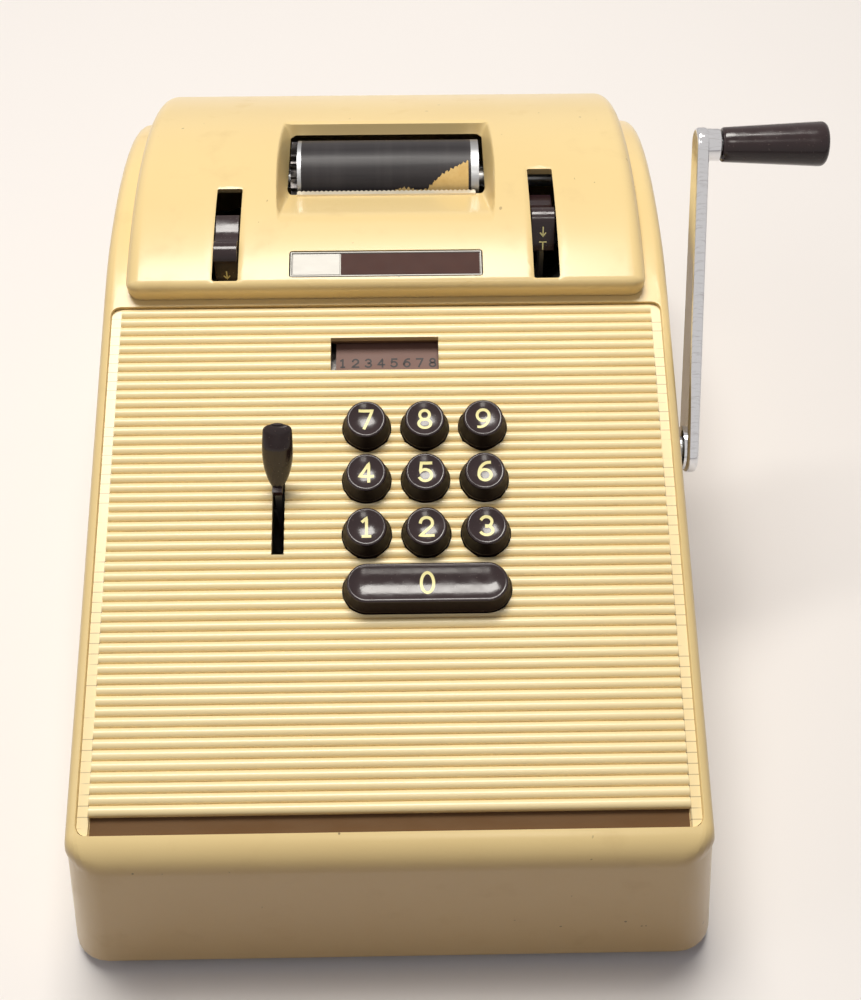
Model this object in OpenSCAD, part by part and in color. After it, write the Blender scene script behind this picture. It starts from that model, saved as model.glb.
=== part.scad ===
// Hand-cranked ten-key adding machine with a printing platen.
// The machine is drawn from its own datum: x from the middle plane, y from the crest of the
// rearmost rib of the keyboard panel (positive to the back) and z from the desk.

/* [Case] */
// Width of the case across its upper side edges
case_w = 193; // [180:1:210]
// How far each side wall spreads from the datum height down to the bottom edge
side_flare = 8; // [5:0.5:10]
// Height of the rearmost rib's crest above the desk
datum_h = 121; // [115:1:130]
// Slope of the keyboard panel
panel_slope = 16; // [14:0.5:18]
// Reach of the front face's lower edge ahead of the rearmost rib
front_reach = 181; // [179:1:190]
// Lean of the front face
front_lean = 4; // [0:0.5:6]
// Radius of the rounded front edge
front_edge_r = 12; // [10:0.5:14]
// Radius of the hump over the printing unit
hump_r = 140; // [130:1:160]
// Distance of the start of the hump behind the rearmost rib
hump_start = 5; // [3:0.5:8]
// Angle past the top at which the hump turns into the rear edge
hump_end = 38; // [34:1:42]
// Radius of the rounded rear edge
rear_edge_r = 22; // [18:1:28]
// Radius along the upper side edges
edge_r = 4; // [2:0.5:5]
// Radius of the upright corners
corner_r = 12; // [9:0.5:14]
// Thickness of the case walls
wall = 3; // [2.5:0.1:3.5]
// Thickness of the case deck that carries panel and hood
deck_t = 7; // [6.5:0.1:8]

/* [Feet and base] */
// Height of the rubber feet
foot_h = 6; // [4:0.5:9]
// Radius of the rubber feet
foot_r = 8; // [6:0.5:10]
// Distance of the feet from the side walls
foot_inset = 17; // [14:1:24]
// Sheet thickness of the base pan
pan_t = 1.5; // [1:0.1:2]
// Height of the base pan's rim
pan_rim_h = 10; // [6:1:16]
// Radius of the foot screws
screw_r = 2; // [1.5:0.1:2.5]

/* [Keyboard panel] */
// Number of ribs
rib_count = 51; // [49:1:51]
// Distance from rib to rib
rib_pitch = 3.36; // [3.3:0.02:3.38]
// Radius of a rib
rib_r = 1.75; // [1.7:0.01:1.8]
// Length of a rib
rib_w = 179.8; // [170:0.2:182]
// Width of the panel
panel_w = 186.6; // [185:0.2:187]
// Thickness of the panel from the rib crests down
panel_t = 4; // [3.6:0.1:4.4]
// Length of the finger groove ahead of the last rib
groove_w = 5.5; // [3:0.5:7]
// Depth of the finger groove
groove_d = 3; // [2:0.1:3.2]
// Width of the column window
window_w = 36.2; // [30:0.2:40]
// Length of the column window
window_h = 12; // [9:0.5:13]
// Distance of the column window's middle ahead of the rearmost rib
window_v = 16.4; // [14:0.2:18]

/* [Keys] */
// Distance from key column to key column
key_pitch = 19.05; // [18:0.05:20]
// Distance from key row to key row
row_pitch = 18.7; // [18:0.05:20]
// Offset of the middle key column from the middle plane
key_x = 12.2; // [8:0.1:14]
// Distance of the rear key row ahead of the rearmost rib
key_v = 44; // [40:0.5:48]
// Diameter of a key top
key_top_d = 13; // [11:0.1:14]
// Diameter of a key skirt
key_skirt_d = 15.4; // [14.2:0.1:16]
// Height of the key rims above the ribs
key_h = 7.3; // [6:0.1:9]
// Depth of the dish in a key top
dish_d = 1.1; // [0.5:0.1:1.5]
// Length of the zero bar
bar_len = 53; // [44:0.5:55]
// Travel of a key
key_travel = 5; // [3:0.25:6]
// Radius of a key stem
stem_r = 2; // [1.5:0.1:2.5]

/* [Hood] */
// Width of the hood
hood_w = 176.6; // [170:0.2:182]
// Rise of the hood's crown above the hump
hood_rise = 10; // [8:0.25:12]
// Set-back of the hood's centre of curvature behind that of the hump
hood_back = 2.9; // [0:0.1:4]
// Drop of the hood's centre of curvature below that of the hump
hood_drop = 1.3; // [0:0.1:2]
// Distance of the hood's front face behind the rearmost rib
hood_gap = 4.7; // [4:0.1:6]
// Radius along the hood's front and rear edges
hood_edge_r = 3; // [2:0.25:4]
// Radius along the hood's side edges
hood_side_r = 5; // [3:0.25:6]
// Thickness of the hood
hood_t = 2.5; // [2:0.1:3]
// Width of the print opening
print_w = 71; // [71:0.5:74]
// Distance of the print opening's front edge behind the rearmost rib
print_front = 53.5; // [52:0.5:55]
// Length of the print opening
print_len = 33; // [31:0.5:34]
// Height of the print opening's edge above the datum
print_rise = 5; // [4:0.25:6]
// Spread of the scoop's front slope per millimetre of height
scoop_front = 2.7; // [1.5:0.1:3]
// Spread of the scoop's rear wall per millimetre of height
scoop_rear = 0.4; // [0.2:0.05:0.5]
// Spread of the scoop's side walls at the rear per millimetre of height
scoop_side = 0.44; // [0.2:0.02:0.6]
// Spread of the scoop's side walls at the front per millimetre of height
scoop_nose = 0.12; // [0.05:0.01:0.3]
// Width of the control slots
slot_w = 8.8; // [8:0.1:10]
// Distance of the slots from the middle plane
slot_x = 54.4; // [52:0.2:58]
// Front end of the control slots behind the rearmost rib
slot_front = 5.2; // [5:0.1:7]
// Length of the left control slot
slot_left_len = 40; // [38:0.5:42]
// Length of the right control slot
slot_right_len = 49.5; // [47:0.5:51]
// Width of the name plate
badge_w = 65; // [50:0.5:68]
// Height of the name plate
badge_h = 10; // [6:0.25:10.5]
// Distance of the name plate's middle from the hood's front face, along the hood
badge_set = 9; // [8.5:0.1:11]

/* [Printing unit] */
// Radius of the platen
platen_r = 14; // [12:0.25:14.5]
// Length of the platen's rubber
platen_len = 61.4; // [50:0.2:62]
// Distance of the platen axis behind the rearmost rib
platen_y = 70; // [68:0.5:71]
// Drop of the platen axis below the datum
platen_drop = 2; // [1.5:0.25:5]
// Radius of the platen shaft
platen_shaft_r = 3; // [2:0.25:4]
// Number of adding columns
columns = 8; // [6:1:8]
// Distance from column to column
column_pitch = 4.45; // [4:0.05:4.6]
// Radius of the paper roll
roll_r = 20; // [16:0.5:20]
// Width of the paper roll
roll_w = 57; // [50:0.5:60]

/* [Levers] */
// Offset of the correction lever from the middle plane
lever_x = 35.3; // [32:0.1:40]
// Rest place of the correction lever ahead of the rearmost rib
lever_v = 66; // [63:0.5:68]
// Stroke of the correction lever at the panel
lever_stroke = 18; // [14:0.5:19]
// Depth of the correction lever's pivot below the ribs
lever_depth = 48; // [44:0.5:52]
// Width of the correction lever's slot
lever_slot_w = 4; // [3.2:0.1:5]
// Height of a control lever's thumb piece above its pivot
thumb_rise = 44.3; // [43:0.1:46]
// Length of a control lever's thumb piece
thumb_len = 21; // [18:0.5:24]

/* [Crank] */
// Length of the crank arm between its axes
crank_len = 101.6; // [90:0.2:110]
// Lean of the crank arm behind the upright
crank_back = 36.6; // [30:0.2:42]
// Width of the crank arm at its hub
crank_w = 17; // [14:0.25:18]
// Width of the crank arm at the grip
crank_tip_w = 11.2; // [10.6:0.1:13]
// Thickness of the crank arm
crank_t = 4; // [3:0.25:5]
// Distance of the crank axis ahead of the rearmost rib
crank_y = 34; // [32:0.5:36]
// Drop of the crank axis below the datum
crank_drop = 34; // [32:0.5:36]
// Gap between case and crank arm
crank_gap = 2.1; // [2:0.1:6]
// Length of the collar that carries the grip
collar_len = 4.1; // [3:0.1:6]
// Diameter of that collar
collar_d = 10.4; // [9:0.1:10.5]
// Length of the grip
grip_len = 35; // [30:0.5:45]
// Diameter of the grip at the collar
grip_neck_d = 11.2; // [11:0.1:13]
// Diameter of the grip at its outer end
grip_end_d = 14.4; // [14:0.1:18]
// Radius of the crank shaft
shaft_r = 4; // [3:0.25:5]
// Module of the drive teeth
drive_module = 1.5; // [1.4:0.1:1.5]
// Teeth on the full circle of the crank's sector
sector_teeth = 20; // [18:1:21]
// Teeth on the full circle of the bail's sector
bail_teeth = 30; // [28:1:32]
// Pull of the crank
crank_pull = 95; // [60:1:95]

/* [Fits] */
// Radial clearance of turning and sliding fits
run_gap = 0.05; // [0.02:0.01:0.1]
// Gap along the seams of the case
seam_gap = 0.25; // [0.1:0.05:0.4]
// Clearance between pieces that pass each other
pass_gap = 0.4; // [0.3:0.05:0.6]

/* [Hidden] */
$fn = 48;

// Colours of the finishes
cream = [0.91, 0.82, 0.59];
brown = [0.22, 0.16, 0.17];
steel = [0.72, 0.73, 0.74];
bright = [0.86, 0.87, 0.88];
black = [0.13, 0.13, 0.14];
brass = [0.78, 0.66, 0.36];
paper = [0.86, 0.74, 0.50];

// Places on the panel: v runs from the rearmost rib towards the operator, u stands off the ribs
function panel_y(v, u) = -v * cos(panel_slope) - u * sin(panel_slope);
function panel_z(v, u) = datum_h - v * sin(panel_slope) + u * cos(panel_slope);
function polar(c, r, a) = [c[0] + r * sin(a), c[1] + r * cos(a)];
function arc(c, r, a0, a1, n) = [for (i = [0 : n]) polar(c, r, a0 + (a1 - a0) * i / n)];
function dot2(a, b) = a[0] * b[0] + a[1] * b[1];

// Outline of the case, all offsets sharing the same centres
face_n = [-cos(front_lean), sin(front_lean)];
panel_n = [-sin(panel_slope), cos(panel_slope)];
panel_t2 = [cos(panel_slope), sin(panel_slope)];
front_foot = [-front_reach, foot_h];
front_det = panel_n[0] * face_n[1] - panel_n[1] * face_n[0];
front_rhs = [datum_h * cos(panel_slope) - front_edge_r, dot2(face_n, front_foot) - front_edge_r];
front_c = [(front_rhs[0] * face_n[1] - panel_n[1] * front_rhs[1]) / front_det,
           (panel_n[0] * front_rhs[1] - front_rhs[0] * face_n[0]) / front_det];
hump_c = [panel_y(-hump_start, -hump_r), panel_z(-hump_start, -hump_r)];
rear_c = polar(hump_c, hump_r - rear_edge_r, hump_end);
rear_y = rear_c[0] + rear_edge_r;
case_half = case_w / 2 + side_flare;
crown_z = hump_c[1] + hump_r;
function front_line(e, z) = -front_reach + e / cos(front_lean) + (z - foot_h) * tan(front_lean);
function case_outline(e, low) = concat(
    [[front_line(e, low), low]],
    arc(front_c, front_edge_r - e, front_lean - 90, -panel_slope, 6),
    arc(hump_c, hump_r - e, -panel_slope, hump_end, 16),
    arc(rear_c, rear_edge_r - e, hump_end + 10, 90, 5),
    [[rear_y - e, low]]);

// The hood's arc and its front and rear faces
hood_c = [hump_c[0] + hood_back, hump_c[1] - hood_drop];
hood_r = hump_r + hood_rise;
hood_face = [panel_y(-hood_gap, 0), panel_z(-hood_gap, 0)];
hood_face_t = dot2(hood_face - hood_c, panel_t2);
hood_face_a = asin(hood_face_t / hood_r) - panel_slope;
function hood_front_c(r) = let (t = hood_face_t + r, d = hood_r - r)
    hood_c + t * panel_t2 + sqrt(d * d - t * t) * panel_n;
function hood_front_a(r) = asin((hood_face_t + r) / (hood_r - r)) - panel_slope;
function hood_rear_a(r) = hump_end - asin(r / (hood_r - r));
function hood_low(e) = [hood_face + e * panel_t2 - deck_t * panel_n,
    polar(hood_c, hood_r - hood_rise - deck_t, hump_end) - e * [cos(hump_end), -sin(hump_end)]];
function hood_outline(e) = let (r = max(hood_edge_r, e + 0.2)) concat(
    [hood_low(e)[0]],
    arc(hood_front_c(r), r - e, -90 - panel_slope, hood_front_a(r), 4),
    arc(hood_c, hood_r - e, hood_front_a(r), hood_rear_a(r), 18),
    arc(polar(hood_c, hood_r - r, hood_rear_a(r)), r - e, hood_rear_a(r), 90 + hump_end, 4),
    [hood_low(e)[1]]);
hood_inner = concat(
    [hood_low(hood_t)[0]],
    arc(hood_c, hood_r - hood_t, hood_front_a(hood_t), hood_rear_a(hood_t), 18),
    [hood_low(hood_t)[1]]);

// The machine stands centred over the origin, crank included
arm_x0 = case_w / 2 + side_flare * (crank_drop + crank_w / 2) / (datum_h - foot_h) + crank_gap;
arm_x1 = arm_x0 + crank_t;
grip_x0 = arm_x1 + collar_len + pass_gap;
grip_x1 = grip_x0 + grip_len;
origin = [(grip_x1 - case_half) / 2, (rear_y - front_reach) / 2, 0];

// Frames and floors
frame_t = 2;
frame_x = case_w / 2 - 15.5;
frame_in = frame_x - frame_t;
thumb_w = slot_w - 2 * pass_gap;
collar_t = 2;
inner_x1 = slot_x - thumb_w / 2 - 2 * pass_gap - collar_t;
inner_x0 = inner_x1 - frame_t;
floor_z = foot_h + pan_t;
hollow_end = wall + 5.5;
frame_u = -9;
inner_u = -11;

// Panel
panel_head = 2;
panel_len = panel_head + (rib_count - 1) * rib_pitch + rib_r + groove_w;
panel_mid_v = panel_len / 2 - panel_head;
panel_corner_r = 3;
plate_top = -1.4;
shelf_w = 7;
window_x = -0.8;
groove_v = panel_len - panel_head - groove_w;

// Keys
bar_v = key_v + 3 * row_pitch;
key_rim_r = 0.8;
key_gap = 0.4;
skirt_u = -2.5;
key_wall = 1.4;
guide_t = 1.5;
guide_top_u = -12;
guide_low_u = -24;
guide_v0 = key_v - 9;
guide_v1 = bar_v + 10;
stem_u = guide_low_u - guide_t - key_travel - 1;
bar_stem_x = bar_len / 2 - 10.5;
function key_place(n) = n == 0 ? [key_x, bar_v]
    : [key_x + ((n - 1) % 3 - 1) * key_pitch, key_v + (2 - floor((n - 1) / 3)) * row_pitch];

// Column strip and pin carriage
strip_u = -panel_t - 1;
strip_t = 0.8;
strip_x0 = window_x - window_w / 2 + 1.6;
carriage_travel = columns * column_pitch;
strip_x1 = window_x + window_w / 2 + carriage_travel + 2;
carriage_half = 20;
carriage_v0 = 7;
carriage_v1 = 29;
carriage_u0 = -20;
carriage_u1 = -9;
rail_r = 2;
rail_u = -14.5;
rail_v = [carriage_v0 + 5, carriage_v1 - 5];

// Shafts, as places in the side view
crank_axis = [-crank_y, datum_h - crank_drop];
platen_axis = [platen_y, datum_h - platen_drop];
drive_gap = drive_module * (sector_teeth + bail_teeth) / 2;
drive_dir = -17;
bail_axis = crank_axis + drive_gap * [cos(drive_dir), sin(drive_dir)];
control_axis = [24, datum_h - 29];
control_r = 3;
lever_mid_v = lever_v + lever_stroke * 0.43;
lever_axis = [panel_y(lever_mid_v, -lever_depth), panel_z(lever_mid_v, -lever_depth)];
lever_pin_r = 3;
lever_lean = -atan((lever_mid_v - lever_v) / lever_depth);
bail_r = 28;
bail_rod_r = 2;
bail_rest = -45;
bail_arm_x = 40;
bail_shaft_r = 4;
bail_rod = bail_axis + bail_r * [cos(bail_rest), sin(bail_rest)];
rack_front = bail_rod[0] + bail_rod_r + 2 * pass_gap;
rack_len = 62;
rack_h = 8;
rack_t = 2;
rack_top = bail_rod[1] + 2;
rack_module = 1;
type_teeth = 32;
type_r = rack_module * type_teeth / 2;
type_axis = [rack_front + 34, rack_top + type_r];
thin_shaft_r = 3;
accum_r = 9;
accum_axis = [type_axis[0], rack_top - rack_h - 1 - accum_r];
roll_axis = [rear_y - hollow_end - roll_r - 2, datum_h - 55];
spindle_r = 4;
tie_r = 3;
tie_places = [[-front_reach + 43, foot_h + 18], [96, foot_h + 16], [98, datum_h - 21]];
spool_x = 52;
spool_r = 13;
spool_core_r = 8;
spool_post_r = 2;
deck_z = type_axis[1] + 15;
deck_sheet = 1.5;
spool_h = 14;

// A flat drawing in the side view, carried from x0 to x1
module along_x(x0, x1) {
    translate([x0, 0, 0]) rotate([90, 0, 90]) linear_extrude(height = x1 - x0) children();
}

// A round bar along x through a place in the side view
module rod(x0, x1, at, r) {
    translate([x0, at[0], at[1]]) rotate([0, 90, 0]) cylinder(h = x1 - x0, r = r);
}

module on_panel(x, v, u) {
    translate([x, panel_y(v, u), panel_z(v, u)]) rotate([panel_slope, 0, 0]) children();
}

module placed() {
    translate(-origin) children();
}

module rounded_rect(w, l, r) {
    square([w - 2 * r, l], center = true);
    square([w, l - 2 * r], center = true);
    for (x = [-1, 1], y = [-1, 1]) translate([x * (w / 2 - r), y * (l / 2 - r)]) circle(r);
}

module stadium(l, w) {
    square([l - w, w], center = true);
    for (x = [-1, 1]) translate([x * (l - w) / 2, 0]) circle(d = w);
}

// Flat gear: trapezoid teeth between two angles, counted from +y towards +z
module toothed(m, teeth, hub_r, a0, a1) {
    pitch_r = m * teeth / 2;
    root_r = pitch_r - 1.15 * m;
    tip_r = pitch_r + 0.85 * m;
    step = 360 / teeth;
    first = ceil(a0 / step);
    last = floor(a1 / step);
    web = [for (a = [a0 : step / 2 : a1]) root_r * [cos(a), sin(a)]];
    difference() {
        union() {
            circle(hub_r);
            polygon(concat([[0, 0]], web));
            for (i = [first : last]) rotate(i * step) polygon([
                [root_r - 0.4 * m, -0.82 * m], [tip_r, -0.34 * m],
                [tip_r, 0.34 * m], [root_r - 0.4 * m, 0.82 * m]]);
        }
        children();
    }
}

// Case body: side outline and plan cut each other, stepped round the edges, over the flared bottom edge
module case_plan(w, e, h) {
    translate([0, (rear_y - front_reach) / 2, foot_h]) linear_extrude(height = h)
        rounded_rect(w - 2 * e, rear_y + front_reach - 2 * e, corner_r - e, $fn = 16);
}

module case_body() {
    hull() {
        case_plan(2 * case_half, 0, 0.5);
        for (a = [0 : 30 : 90]) intersection() {
            case_plan(case_w, edge_r * (1 - sin(a)), crown_z);
            along_x(-case_half, case_half) polygon(case_outline(edge_r * (1 - cos(a)), foot_h));
        }
    }
}

module case_hollow() {
    low = case_half - wall;
    top = case_w / 2 - wall;
    intersection() {
        translate([0, (rear_y - front_reach) / 2, 0]) linear_extrude(height = crown_z)
            rounded_rect(2 * low, rear_y + front_reach - 2 * hollow_end, corner_r - wall);
        along_x(-case_half, case_half) polygon(case_outline(deck_t, 0));
        translate([0, rear_y, 0]) rotate([90, 0, 0]) linear_extrude(height = rear_y + front_reach)
            polygon([[-low, 0], [low, 0], [low, foot_h], [top, front_c[1]], [top, crown_z],
                [-top, crown_z], [-top, front_c[1]], [-low, foot_h]]);
    }
}

module case() {
    hood_shelf = hood_w / 2 - hood_t - 1.5;
    hood_cut_y = hood_face[0] + hood_t + 2;
    color(cream) placed() difference() {
        case_body();
        case_hollow();
        on_panel(0, panel_mid_v, -panel_t - seam_gap) linear_extrude(height = 3 * panel_t)
            rounded_rect(panel_w + 2 * seam_gap, panel_len + 2 * seam_gap, panel_corner_r + seam_gap);
        on_panel(0, panel_mid_v, -3 * deck_t) linear_extrude(height = 4 * deck_t)
            square([panel_w - 2 * shelf_w, panel_len - 2 * shelf_w], center = true);
        translate([-hood_shelf, hood_cut_y, datum_h - 3 * deck_t])
            cube([2 * hood_shelf, polar(hump_c, hump_r, hump_end)[0] - 7 - hood_cut_y, 6 * deck_t]);
        rod(case_w / 2 - 2 * wall, case_half + 1, crank_axis, shaft_r + 3);
    }
}

module keyboard_panel() {
    color(cream) placed() on_panel(0, 0, 0) difference() {
        union() {
            translate([0, -panel_mid_v, -panel_t]) linear_extrude(height = panel_t + plate_top)
                rounded_rect(panel_w, panel_len, panel_corner_r);
            along_x(-rib_w / 2, rib_w / 2)
                for (i = [0 : rib_count - 1]) translate([-i * rib_pitch, -rib_r]) circle(rib_r);
        }
        translate([-rib_w / 2, -groove_v - groove_w - 1, -groove_d]) cube([rib_w, groove_w + 1, groove_d + 1]);
        translate([window_x, -window_v, 0]) cube([window_w, window_h, 3 * panel_t], center = true);
        for (n = [1 : 9]) translate([key_place(n)[0], -key_place(n)[1], -2 * panel_t])
            cylinder(h = 3 * panel_t, r = key_skirt_d / 2 + key_gap);
        translate([key_x, -bar_v, -2 * panel_t]) linear_extrude(height = 3 * panel_t)
            stadium(bar_len + 2 * key_gap, key_skirt_d + 2 * key_gap);
        translate([-lever_x - lever_slot_w / 2, -lever_v - lever_stroke - lever_end, -2 * panel_t])
            cube([lever_slot_w, lever_stroke + 2 * lever_end, 3 * panel_t]);
    }
}

// The scoop round the print opening, widened by g
module scoop(g) {
    low = datum_h + print_rise - g;
    rise = 15 + g;
    top_r = 7;
    hull() {
        translate([0, print_front + print_len / 2, low]) linear_extrude(height = 0.1)
            rounded_rect(print_w + 2 * g, print_len + 2 * g, 2 + g, $fn = 24);
        for (s = [-1, 1]) {
            translate([s * (print_w / 2 + rise * scoop_nose - top_r), print_front - g - rise * scoop_front + top_r + g,
                low + rise]) cylinder(h = 0.1, r = top_r + g, $fn = 24);
            translate([s * (print_w / 2 + rise * scoop_side - top_r), print_front + print_len + rise * scoop_rear - top_r,
                low + rise]) cylinder(h = 0.1, r = top_r + g, $fn = 24);
        }
    }
}

module hood_body() {
    hull() for (a = [0 : 30 : 90]) {
        half = hood_w / 2 - hood_side_r * (1 - sin(a));
        along_x(-half, half) polygon(hood_outline(hood_side_r * (1 - cos(a))));
    }
}

module on_hood(x, a) {
    at = polar(hood_c, hood_r, a);
    translate([x, at[0], at[1]]) rotate([-a, 0, 0]) children();
}

badge_a = hood_face_a + badge_set / hood_r * 180 / PI;
badge_t = 1.2;

module hood() {
    color(cream) placed() difference() {
        union() {
            difference() {
                hood_body();
                along_x(-hood_w / 2 + hood_t, hood_w / 2 - hood_t) polygon(hood_inner);
                rod(-hood_w, hood_w, hump_c, hump_r + seam_gap);
            }
            intersection() {
                scoop(hood_t - 0.3);
                rod(-hood_w / 2, hood_w / 2, hood_c, hood_r - 0.6);
            }
        }
        scoop(0);
        translate([0, print_front + print_len / 2, datum_h - 10]) linear_extrude(height = 20)
            rounded_rect(print_w, print_len, 2, $fn = 24);
        translate([-slot_x - slot_w / 2, slot_front, datum_h]) cube([slot_w, slot_left_len, 40]);
        translate([slot_x - slot_w / 2, slot_front, datum_h]) cube([slot_w, slot_right_len, 40]);
        on_hood(0, badge_a) cube([badge_w + 0.6, badge_h + 0.6, 2 * badge_t], center = true);
    }
}

module name_plate() {
    color(brown) placed() on_hood(0, badge_a) translate([0, 0, -badge_t]) linear_extrude(height = badge_t)
        rounded_rect(badge_w, badge_h, 0.8);
}

// Tear bar: a strip with a saw edge, seated on the lip of the scoop
tear_t = 0.8;
tear_len = 64;
tear_tooth = 1.6;
tear_reach = 2.2;

module tear_bar() {
    slope = -atan(1 / scoop_front);
    teeth = floor(tear_len / tear_tooth);
    color(steel) placed() translate([0, print_front, datum_h + print_rise]) rotate([slope, 0, 0])
        translate([-tear_len / 2, 0, 0.1]) linear_extrude(height = tear_t) union() {
            translate([0, -tear_reach]) square([tear_len, tear_reach + 0.6]);
            for (i = [0 : teeth - 1]) translate([i * tear_tooth, 0.6])
                polygon([[0, 0], [tear_tooth, 0], [tear_tooth / 2, tear_tooth * 0.7]]);
        }
}

// Base pan with its rim, and the bosses that take the foot screws
foot_places = [for (x = [-1, 1], y = [-front_reach + foot_inset + 6, rear_y - foot_inset - 1])
    [x * (case_w / 2 - foot_inset), y]];
pan_gap = 0.5;
boss_h = 6;

module pan_plan(g) {
    half = case_half - wall - side_flare * pan_rim_h / (front_c[1] - foot_h);
    translate([0, (rear_y - front_reach) / 2]) rounded_rect(2 * (half - g),
        rear_y + front_reach - 2 * (hollow_end + g), corner_r - wall - g);
}

module base_pan() {
    color(steel) placed() difference() {
        union() {
            translate([0, 0, foot_h]) linear_extrude(height = pan_t) pan_plan(pan_gap);
            translate([0, 0, foot_h]) linear_extrude(height = pan_rim_h) difference() {
                pan_plan(pan_gap);
                pan_plan(pan_gap + pan_t);
            }
            for (p = foot_places) translate([p[0], p[1], foot_h]) cylinder(h = pan_t + boss_h, r = screw_r + 2.5);
        }
        for (p = foot_places) translate([p[0], p[1], 0]) cylinder(h = 40, r = screw_r + run_gap);
    }
}

head_h = 2.4;

module rubber_feet() {
    color(black) placed() for (p = foot_places) translate([p[0], p[1], 0]) difference() {
        union() {
            cylinder(h = 1, r1 = foot_r - 1, r2 = foot_r);
            translate([0, 0, 1]) cylinder(h = foot_h - 1, r = foot_r);
        }
        translate([0, 0, -1]) cylinder(h = 40, r = screw_r + run_gap);
        translate([0, 0, -1]) cylinder(h = 1 + foot_h / 2, r = 2 * screw_r + run_gap);
    }
}

module foot_screws() {
    color(steel) placed() for (p = foot_places) translate([p[0], p[1], foot_h / 2 - head_h]) difference() {
        union() {
            cylinder(h = head_h, r = 2 * screw_r);
            cylinder(h = foot_h / 2 + head_h + pan_t + boss_h, r = screw_r);
        }
        translate([-2 * screw_r, -0.5, -1]) cube([4 * screw_r, 1, 2]);
    }
}

// Side frames: upright plates that follow the case inside and carry the shafts
frame_outline = [
    [-front_reach + 32, floor_z], [roll_axis[0] + 7, floor_z],
    [roll_axis[0] + 7, roll_axis[1] + 10], [tie_places[2][0] + 6, tie_places[2][1] + 12],
    [platen_axis[0] + 14, platen_axis[1] + 7], [platen_axis[0] - 8, platen_axis[1] + 9],
    [platen_axis[0] - 34, platen_axis[1] + 2], [panel_y(2, frame_u), panel_z(2, frame_u)],
    [panel_y(panel_len - 26, frame_u), panel_z(panel_len - 26, frame_u)],
    [-front_reach + 32, panel_z(panel_len - 26, frame_u) - 8]];

module shaft_holes(list) {
    for (s = list) translate(s[0]) circle(s[1] + run_gap);
}

common_holes = concat([for (t = tie_places) [t, tie_r]],
    [[platen_axis, platen_shaft_r], [type_axis, thin_shaft_r], [accum_axis, thin_shaft_r],
     [roll_axis, spindle_r], [bail_axis, bail_shaft_r]]);
rail_holes = [for (v = rail_v) [[panel_y(v, rail_u), panel_z(v, rail_u)], rail_r]];

module left_side_frame() {
    color(steel) placed() along_x(-frame_x, -frame_in) difference() {
        polygon(frame_outline);
        shaft_holes(concat(common_holes, rail_holes,
            [[control_axis, control_r], [lever_axis, lever_pin_r]]));
    }
}

bush_r = shaft_r + 2;
bush_x = [inner_x0, frame_in];

module right_side_frame() {
    color(steel) placed() along_x(frame_in, frame_x) difference() {
        polygon(frame_outline);
        shaft_holes(concat(common_holes, [[crank_axis, bush_r]]));
    }
}

// Inner frame: carries the inner ends of crank shaft, rails and key guides
inner_outline = [
    [panel_y(guide_v1 + 4, inner_u), floor_z], [control_axis[0] + 9, floor_z],
    [control_axis[0] + 9, control_axis[1] + 8], [panel_y(2, inner_u), panel_z(2, inner_u)],
    [panel_y(guide_v1 + 4, inner_u), panel_z(guide_v1 + 4, inner_u)]];

module inner_frame() {
    color(steel) placed() along_x(inner_x0, inner_x1) difference() {
        polygon(inner_outline);
        shaft_holes(concat(rail_holes, [[crank_axis, bush_r], [bail_axis, bail_shaft_r],
            [control_axis, control_r]]));
    }
}

module tie_rods() {
    color(steel) placed() for (t = tie_places) {
        rod(-frame_x - 1, frame_x + 1, t, tie_r);
        for (x = [-frame_x - 3.5, frame_x]) rod(x, x + 3.5, t, 2 * tie_r);
    }
}

// Key guides: two perforated sheets parallel to the panel
module key_guide(u) {
    color(steel) placed() on_panel(0, 0, u - guide_t) difference() {
        translate([-frame_in, -guide_v1, 0]) cube([frame_in + inner_x0 - run_gap, guide_v1 - guide_v0, guide_t]);
        for (n = [1 : 9]) translate([key_place(n)[0], -key_place(n)[1], -1]) cylinder(h = 5, r = stem_r + run_gap);
        for (x = [-1, 1]) translate([key_x + x * bar_stem_x, -bar_v, -1]) cylinder(h = 5, r = stem_r + run_gap);
        translate([-lever_x - lever_slot_w, -lever_v - lever_stroke - 4, -1])
            cube([2 * lever_slot_w, lever_stroke + 8, 5]);
    }
}

module upper_key_guide() {
    key_guide(guide_top_u);
}

module lower_key_guide() {
    key_guide(guide_low_u);
}

// Key: a dished cap with a hollow skirt on a stem with a stop collar
module key_stem() {
    translate([0, 0, stem_u]) cylinder(h = key_h - 3 - stem_u, r = stem_r);
    translate([0, 0, guide_top_u - guide_t - 1.2 - pass_gap]) cylinder(h = 1.2, r = stem_r + 1.5);
}

// Half section of a cap: skirt, taper, rounded rim and dish
function cap_half(top_d, skirt_d) = let (
    rim_c = top_d / 2 - key_rim_r,
    dish_r = (rim_c * rim_c + dish_d * dish_d) / (2 * dish_d),
    dish_a = asin(rim_c / dish_r)) concat(
    [[0, key_h - 3]], [[skirt_d / 2 - key_wall - 1, key_h - 3]], [[skirt_d / 2 - key_wall, skirt_u]],
    [[skirt_d / 2, skirt_u]], [[skirt_d / 2, 0.8]],
    [for (a = [100 : -20 : 0]) [rim_c + key_rim_r * sin(a), key_h - key_rim_r + key_rim_r * cos(a)]],
    [for (i = [5 : -1 : 0]) [dish_r * sin(dish_a * i / 6),
        key_h - dish_d + dish_r * (1 - cos(dish_a * i / 6))]]);

module round_key(n) {
    color(brown) placed() on_panel(key_place(n)[0], key_place(n)[1], 0) {
        rotate_extrude() polygon(cap_half(key_top_d, key_skirt_d));
        key_stem();
    }
}

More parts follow.
